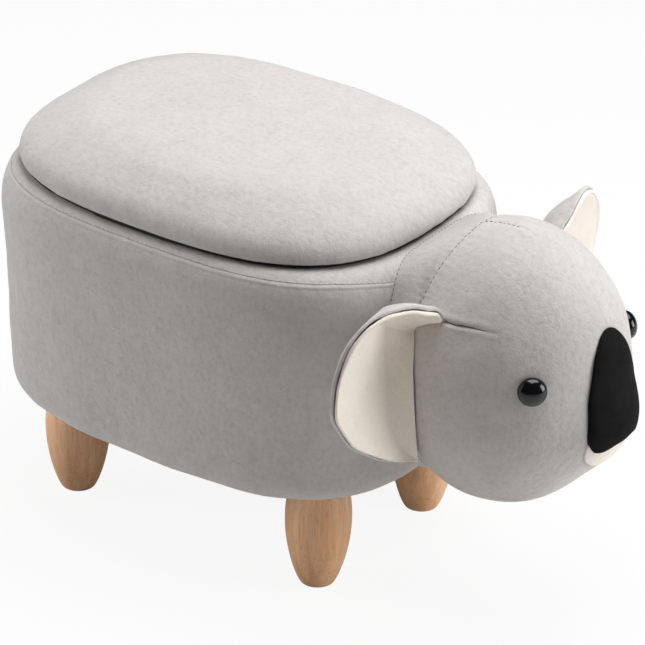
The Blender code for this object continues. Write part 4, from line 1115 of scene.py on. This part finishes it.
def head_section(x):
    """Half width, half height and power of the head's or neck's section at places along X."""
    back = np.maximum(0, (-COLLAR_OFFSET - x) / (-COLLAR_OFFSET - NECK_ROOT))
    swell = np.sqrt(np.maximum(0, 1 - (np.maximum(x, -COLLAR_OFFSET) / HEAD_HALF.x) ** 2))
    width, height = HEAD_HALF.y * swell, HEAD_HALF.z * swell
    width = width + (NECK_WIDTH / 2 - width) * back
    height = height + (NECK_HEIGHT / 2 - height) * back
    return width, height, 2 + (NECK_POWER - 2) * back


def head_ring(x):
    """A ring of the head or neck at a place along X, from the head's centre."""
    width, height, power = head_section(x)
    flat = polar_oval(height, width, power, HEAD_COLUMNS)
    up, across = flat[:, 0], -flat[:, 1]
    depth = np.full(HEAD_COLUMNS, x)
    if x > 0:
        depth = depth + muzzle_rise(across, up)
    return np.column_stack([depth, across, up])


def collar_seam():
    """The seam between the neck band and the head, leaning forward at its top."""
    ring = head_ring(-COLLAR_OFFSET)
    share = clip01((ring[:, 2] - COLLAR_SEAM_LEAN_START) / COLLAR_SEAM_LEAN_HEIGHT)
    ring[:, 0] = -COLLAR_OFFSET + COLLAR_SEAM_LEAN * share**1.5
    swell = np.sqrt(1 - (ring[:, 0] / HEAD_HALF.x) ** 2)
    swell /= math.sqrt(1 - (COLLAR_OFFSET / HEAD_HALF.x) ** 2)
    ring[:, 1:] *= swell[:, None]
    return np.vstack([ring, ring[:1]]) + HEAD_PLACE


def middle_seam():
    """The seam over the middle of the head, from the collar over the brow and under the chin."""
    start = math.asin((COLLAR_SEAM_LEAN - COLLAR_OFFSET) / HEAD_HALF.x)
    angles = np.linspace(start, math.pi + math.asin(COLLAR_OFFSET / HEAD_HALF.x), 90)
    x, up = HEAD_HALF.x * np.sin(angles), HEAD_HALF.z * np.cos(angles)
    x += np.where(x > 0, muzzle_rise(0, up), 0)
    return np.column_stack([x, np.zeros(90), up]) + HEAD_PLACE


def inside_box(points):
    """Whether points lie inside the box's form."""
    inset = shoulder_inset(points[:, 2])
    reach_x = np.abs(points[:, 0] - BODY_CENTRE_X) / (BODY_HALF.x - inset)
    reach_y = np.abs(points[:, 1]) / (BODY_HALF.y - inset)
    return (reach_x**BODY_POWER + reach_y**BODY_POWER < 1) & (points[:, 2] < BODY_TOP)


def neck_seam():
    """The stitched line on the neck beside the box, over the neck's top and sides."""
    places = np.linspace(NECK_ROOT, -COLLAR_OFFSET, 80)
    rings = np.array([head_ring(x) for x in places]) + HEAD_PLACE
    line = []
    for column in range(HEAD_COLUMNS):
        outside = np.nonzero(~inside_box(rings[:, column]))[0]
        line.append(rings[min(outside[0] + NECK_SEAM_STEPS, len(places) - 1), column])
    line = np.array(line)
    angles = np.arctan2(line[:, 1], line[:, 2] - HEAD_CENTRE.z)
    order = np.argsort(angles)
    line = line[order][np.abs(angles[order]) < NECK_SEAM_REACH]
    kernel = np.ones(NECK_SEAM_EVENING) / NECK_SEAM_EVENING
    return np.column_stack([np.convolve(values, kernel, "valid") for values in line.T])


def on_head(places, sign):
    """A line on the head's round form in the directions of (x, across, up) places."""
    size = np.array(HEAD_HALF)
    directions = np.array(places) / size
    directions /= np.linalg.norm(directions, axis=1)[:, None]
    return directions * size * (1, sign, 1) + HEAD_PLACE


def head_form():
    """The stuffed head and neck, with their sewn seams."""
    neck = np.linspace(NECK_ROOT - NECK_SINK / 2, -COLLAR_OFFSET, 26)[:-1]
    start = -math.asin(COLLAR_OFFSET / HEAD_HALF.x)
    front = HEAD_HALF.x * np.sin(np.linspace(start, QUARTER * 0.985, 180))
    made = solid("head_form", [head_ring(x) + HEAD_PLACE for x in [*neck, *front]])
    seams = [collar_seam(), middle_seam()]

    def held(points):
        nearest = np.min([along_line(line[::3], points)[0] for line in seams], axis=0)
        at_body = clip01(1 - (points[:, 0] - BODY_HIGH.x) / 0.02)
        at_nose = clip01((points[:, 0] - HEAD_PLACE[0] - 0.08) / 0.02)
        return clip01(np.maximum.reduce([1 - nearest / 0.006, at_body, at_nose]))

    field = puffed(made, 0.0055, held, 0.003, evening=12)
    points, facing = surface_of(made)
    height = uneven(points, HEAD_WAVES) - 0.001
    for line, fade_start in zip(seams, (9.0, MIDDLE_SEAM_FADE)):
        distance, place = along_line(line, points)
        fade = np.clip(1 - (place - fade_start) / MIDDLE_SEAM_FADE, 0.12, 1)
        height += seam_height(distance, place, depth=0.0008, width=0.0014) * fade
    for sign in SIDES.values():
        distance, place = along_line(on_head(DART_PLACES, sign), points)
        fade = clip01(1.3 - place / 0.05)
        height += (0.0009 * bell(distance - 0.004, 0.003) - 0.0019 * bell(distance, 0.0013)) * fade
        distance, place = along_line(on_head(JAW_PLACES, sign), points)
        height += seam_height(distance, place, depth=0.0012, width=0.0022)
    height[points[:, 0] < BODY_HIGH.x + 0.002] = -0.001
    set_points(made, points + field(points) + facing * height[:, None])
    nodes = ("head_panel_left", "head_panel_right", "neck_band", "head_filling")
    return dress(made, "box", "grey_fabric", nodes)


# Ears


def ear_surface(across, along, side):
    """The ear's middle surface as rows from root to rim, for the right side's outline."""
    size = np.array([EAR_SWEEP, EAR_SPREAD, EAR_HEIGHT])
    rim = smooth_line(np.array(EAR_RIM_SHARES) * size, along)
    root = smooth_line(np.array(EAR_ROOT_SHARES) * size, along)
    a = across[:, None]
    points = root + (rim - root) * a[..., None]
    round_cup = np.sin(math.pi * a**EAR_CUP_SKEW)
    valley = np.interp(along, *zip(*EAR_VALLEY))[None, :]
    from_valley = np.where(a < valley, 1 - a / valley, (a - valley) / (1 - valley))
    sharp_cup = 1 - np.sqrt(from_valley**2 + 0.003)
    cup = round_cup + (sharp_cup - round_cup) * EAR_VALLEY_SHARE
    cup = cup * np.sin(math.pi * along) * EAR_CUP_BY_SIDE[side]
    points = points - np.array([math.cos(EAR_CUP_TURN), math.sin(EAR_CUP_TURN), 0]) * cup[..., None]
    middle, width = EAR_DROOP_PLACE[side]
    top = bell(along - middle, width)[None, :, None]
    points = points + np.array(EAR_DROOP[side]) * a[..., None] ** 1.3 * top
    points[..., 0] += EAR_LEAN[side] * np.sin(math.pi * along)
    points[..., 1] += HEAD_HALF.y
    return points


def ear_facing(points):
    """The way an ear's surface faces, forwards."""
    across = np.cross(np.gradient(points, axis=1), np.gradient(points, axis=0))
    return across / np.maximum(np.linalg.norm(across, axis=2)[..., None], 1e-9)


def out_of_head(points, sink):
    """Points moved out of the head's or neck's form, up to a sink inside it."""
    width, height, power = head_section(points[..., 0])
    reach = np.abs(points[..., 1] / (width - sink)) ** power
    reach += np.abs(points[..., 2] / (height - sink)) ** power
    moved = points.copy()
    moved[..., 1:] /= np.minimum(1, reach ** (1 / power))[..., None]
    return moved


def ear_shell(name, side, reach, offset, rim_pad, pad):
    """A padded shell of an ear, rolled over at its rim: its reach, offset and thicknesses."""
    near_rim = 1 - 0.16 * np.linspace(1, 0, 30) ** 2
    across = np.concatenate([np.linspace(0, 0.84, 40)[:-1], near_rim]) * reach
    along = np.linspace(0, 1, 150)
    surface = ear_surface(across, along, side)
    facing = ear_facing(surface)
    short = clip01(np.minimum(along, 1 - along) / 0.08) ** 0.5 * 0.8 + 0.2
    from_edge = (across[-1] - across)[:, None] * EAR_SPREAD
    full = clip01(from_edge / EAR_FILL_START)
    half = (rim_pad + (pad - rim_pad) * full**1.5) / 2
    roll = rim_pad / 2
    swell = np.sqrt(clip01(1 - np.maximum(1 - from_edge / roll, 0) ** 2))
    bead = 1 + 0.25 * (bell(from_edge - roll, roll) - bell(from_edge - 3.2 * roll, roll))
    thick = (half * swell * bead * short[None, :])[..., None]
    centre = surface + facing * (offset * short[None, :, None])
    sides = np.concatenate([centre + facing * thick, (centre - facing * thick)[::-1][1:]])
    rings = out_of_head(sides, EAR_SINK) * (1, SIDES[side], 1) + HEAD_PLACE
    made = solid(name, np.swapaxes(rings, 0, 1))
    return raised(made, lambda points: uneven(points, EAR_WRINKLES))


def ears():
    """The ears: padded grey backs and cream linings, each rolled over at the rim."""
    behind = -EAR_BACK_PAD / 2 - EAR_LINING_PAD / 4
    back_cut = (EAR_BACK_REACH, behind, EAR_BACK_RIM, EAR_BACK_PAD)
    lining_cut = (EAR_LINING_REACH, EAR_LINING_PAD / 3, EAR_LINING_RIM, EAR_LINING_PAD)
    for side in SIDES:
        back = ear_shell("ear_shell_" + side, side, *back_cut)
        dress(back, "box", "grey_fabric", ("ear_back_" + side,))
        lining = ear_shell("ear_inside_" + side, side, *lining_cut)
        dress(lining, "box", "cream_fabric", ("ear_lining_" + side,))


# Nose, chin and eyes


def closed_outline(shares, half_width, half_height, count=120):
    """A smooth closed outline from the points of its left half."""
    half = np.array(shares) * (half_width, half_height)
    whole = np.vstack([half, half[-2:0:-1] * (-1, 1)])
    padded = np.vstack([whole[-2:], whole, whole[:3]])
    steps = np.linspace(0, 1, OUTLINE_STEPS)
    spans = len(padded) - 1
    once_round = (steps >= 2 / spans) & (steps < (2 + len(whole)) / spans)
    curve = smooth_line(padded, steps)[once_round]
    looped = np.vstack([curve, curve[:1]])
    return at_lengths(looped, np.linspace(0, lengths_along(looped)[-1], count, endpoint=False))


def face_pad(name, outline, rise, pad, edge, lower_lift=0.0):
    """A padded patch on the head's front, rounded over at its edge."""
    scales = np.concatenate([np.linspace(0.02, 0.9, 16), 1 - np.linspace(0.1, 0, 12)[1:] ** 1.5])
    front, back = [], []
    for scale in scales:
        across, up = (outline * scale + (0, rise)).T
        surface = head_front(across, up) + PAD_SEAT
        share = clip01((1 - scale) / 0.08)
        full = edge + (pad - edge) * (1 - scale**PAD_CROWN_POWER)
        full += lower_lift * clip01((rise - up) / outline[:, 1].max())
        thickness = full * (0.25 + 0.75 * math.sqrt(1 - (1 - share) ** 2))
        front.append(np.column_stack([surface + thickness, across, up]))
        back.append(np.column_stack([surface, across, up]))
    return solid(name, np.array(back + front[::-1]) + HEAD_PLACE)


def nose():
    """The tall nose of black felt."""
    outline = closed_outline(NOSE_OUTLINE_SHARES, NOSE_WIDTH / 2, NOSE_HEIGHT / 2)
    made = face_pad("nose", outline, NOSE_RISE, NOSE_PAD, NOSE_EDGE, NOSE_LOWER_LIFT)
    return dress(made, "box", "black_felt", ("nose_pad",))


def chin():
    """The cream patch below the nose and round its lower corners."""
    outline = polar_oval(1, 1, 2, 96) * (CHIN_WIDTH / 2, CHIN_HEIGHT / 2)
    rise = NOSE_RISE - NOSE_HEIGHT / 2 + CHIN_HEIGHT / 4 - CHIN_DROP
    made = face_pad("chin", outline, rise, CHIN_PAD, CHIN_EDGE)
    return dress(made, "box", "cream_fabric", ("chin_patch",))


def eyes():
    """Domed glossy eyes, seated a little into the fabric."""
    turns = np.linspace(0, QUARTER, 21)[1:]
    profile = [(EYE_RADIUS * math.sin(a), EYE_DOME * math.cos(a)) for a in turns]
    profile += [(EYE_RADIUS, -0.0008), (EYE_RADIUS * 0.93, -0.0018)]
    profile += [(EYE_SHANK_RADIUS, -0.0022), (EYE_SHANK_RADIUS, -EYE_SHANK_DEPTH)]
    rings = level_rings([(polar_oval(1, 1, 2, 56) * r, z) for r, z in profile], 0)
    level = math.cos(EYE_ELEVATION)
    for side, sign in SIDES.items():
        across = level * math.sin(EYE_AZIMUTH) * sign
        way = Vector((level * math.cos(EYE_AZIMUTH), across, math.sin(EYE_ELEVATION)))
        out = Vector([part / half for part, half in zip(way, HEAD_HALF)]).normalized()
        turn = np.array(out.to_track_quat("Z", "Y").to_matrix())
        made = solid("eye_dome_" + side, rings @ turn.T + np.array(HEAD_CENTRE + way * HEAD_HALF))
        dress(made, "box", "black_plastic", ("eye_" + side,))


# Legs


def leg_radius(height, top):
    """The turned leg's radius at a height."""
    if height <= LEG_BELLY_HEIGHT:
        share = math.sin(QUARTER * height / LEG_BELLY_HEIGHT) ** LEG_TAPER_POWER
        return LEG_FOOT_RADIUS + (LEG_BELLY_RADIUS - LEG_FOOT_RADIUS) * share
    share = math.cos(QUARTER * (height - LEG_BELLY_HEIGHT) / (top - LEG_BELLY_HEIGHT))
    return LEG_TOP_RADIUS + (LEG_BELLY_RADIUS - LEG_TOP_RADIUS) * share


def legs():
    """Turned legs with a soft edge at the top and the foot."""
    for place in LEG_NAMES:
        low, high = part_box("leg_" + place)
        top = high.z
        heights = [top * (1 - step / 40) for step in range(34)]
        heights += [top * 0.175 * (1 - step / 16) ** 1.6 for step in range(16)]
        profile = [(LEG_TOP_RADIUS - 0.001, top), (LEG_TOP_RADIUS, top - 0.0008)]
        profile += [(leg_radius(height, top), height) for height in heights[1:]]
        profile += [(LEG_FOOT_RADIUS + 0.0006, 0.0009), (LEG_FOOT_RADIUS - 0.0015, 0.0)]
        circle = polar_oval(1, 1, 2, 64)
        rings = level_rings([(circle * r, z) for r, z in profile], (low.xy + high.xy) / 2)
        made = solid("turned_leg_" + place, rings)
        dress(made, "box", "leg_wood", ("leg_" + place,))


# Light, floor and camera


def seen_plainly(tree, share, shaded, plain, output):
    """Mix a plain shader in for camera rays, by a share."""
    path = tree.nodes.new("ShaderNodeLightPath")
    factor = node(tree, "ShaderNodeMath", operation="MULTIPLY")
    factor.inputs[1].default_value = share
    mix = tree.nodes.new("ShaderNodeMixShader")
    tree.links.new(path.outputs["Is Camera Ray"], factor.inputs[0])
    tree.links.new(factor.outputs[0], mix.inputs["Fac"])
    tree.links.new(shaded.outputs[0], mix.inputs[1])
    tree.links.new(plain.outputs[0], mix.inputs[2])
    tree.links.new(mix.outputs[0], tree.nodes[output].inputs["Surface"])


def lights():
    """A white world and plain soft lamps."""
    world = bpy.data.worlds.new("studio")
    bpy.context.scene.world = world
    world.use_nodes = True
    tree = world.node_tree
    background = tree.nodes["Background"]
    background.inputs["Color"].default_value = (1, 1, 1, 1)
    background.inputs["Strength"].default_value = WORLD_STRENGTH
    white = node(tree, "ShaderNodeBackground", Color=(1, 1, 1, 1), Strength=1.0)
    seen_plainly(tree, 1.0, background, white, "World Output")
    for name, place, size, power, colour in LAMPS:
        lamp = bpy.data.lights.new(name, "AREA")
        lamp.size = size
        lamp.energy = power
        lamp.color = colour
        made = linked(name, lamp)
        made.location = place
        made.rotation_euler = (LAMP_AIM - Vector(place)).to_track_quat("-Z", "Y").to_euler()


def paper_floor():
    """A white floor that keeps the stool's shadow."""
    bpy.ops.mesh.primitive_plane_add(size=FLOOR_SIZE, location=(0, 0, -FLOOR_DROP))
    floor = bpy.context.object
    floor.name = "floor"
    paper = finish("floor_paper", (0.9, 0.9, 0.9), 0.9, (), Specular_IOR_Level=0.0)
    tree = paper.node_tree
    glow = node(tree, "ShaderNodeEmission", Color=(1, 1, 1, 1), Strength=1.0)
    seen_plainly(tree, FLOOR_WHITE_SHARE, tree.nodes["Principled BSDF"], glow, "Material Output")
    floor.data.materials.append(paper)


def photo_camera():
    """The photograph's camera."""
    lens = bpy.data.cameras.new("camera")
    lens.sensor_width = SENSOR_MM
    lens.lens = SENSOR_MM * FOCAL_PIXELS / PICTURE_PIXELS
    lens.clip_end = 50
    camera = linked("camera", lens)
    turned = Matrix.Translation(Vector((BODY_CENTRE_X, 0, 0)) + CAMERA_AIM_FROM_BODY)
    for angle, axis in ((CAMERA_AZIMUTH, "Z"), (90 - CAMERA_ELEVATION, "X"), (CAMERA_ROLL, "Z")):
        turned = turned @ Matrix.Rotation(math.radians(angle), 4, axis)
    camera.matrix_world = turned @ Matrix.Translation((0, 0, CAMERA_DISTANCE))
    bpy.context.scene.camera = camera


bpy.context.scene.view_settings.view_transform = "Standard"
dress_frame()
lights()
paper_floor()
photo_camera()
cover = box_cover()
facing = rim_cover()
lid_cushion()
closing_cloth()
storage_cup()
underside_cloth()
head = head_form()
ears()
nose()
chin()
eyes()
legs()

seam_inset, seam_height_at_side = side_profile()[-1]
welt_row = box_row(seam_inset - 0.0005, seam_height_at_side - WELT_WIDTH)
stitches("box_stitches", welt_row, cover, PALE_THREAD)
rim_row = box_row(*shoulder([seam_angle() + RIM_ROW_TURN])[0])
stitches("rim_stitches", rim_row, facing, PALE_THREAD)
stitches("collar_stitches", collar_seam(), head, THREAD_AND_CREASE_SHADE)
stitches("brow_stitches", walk(middle_seam(), 0.002)[:22], head, THREAD_AND_CREASE_SHADE)
stitches("neck_stitches", neck_seam(), head, THREAD_AND_CREASE_SHADE)
# Painted shade: dark tubes along the dart creases.
painted_crease_shade("dart_crease_shade", [on_head(DART_PLACES, sign) for sign in SIDES.values()], head)
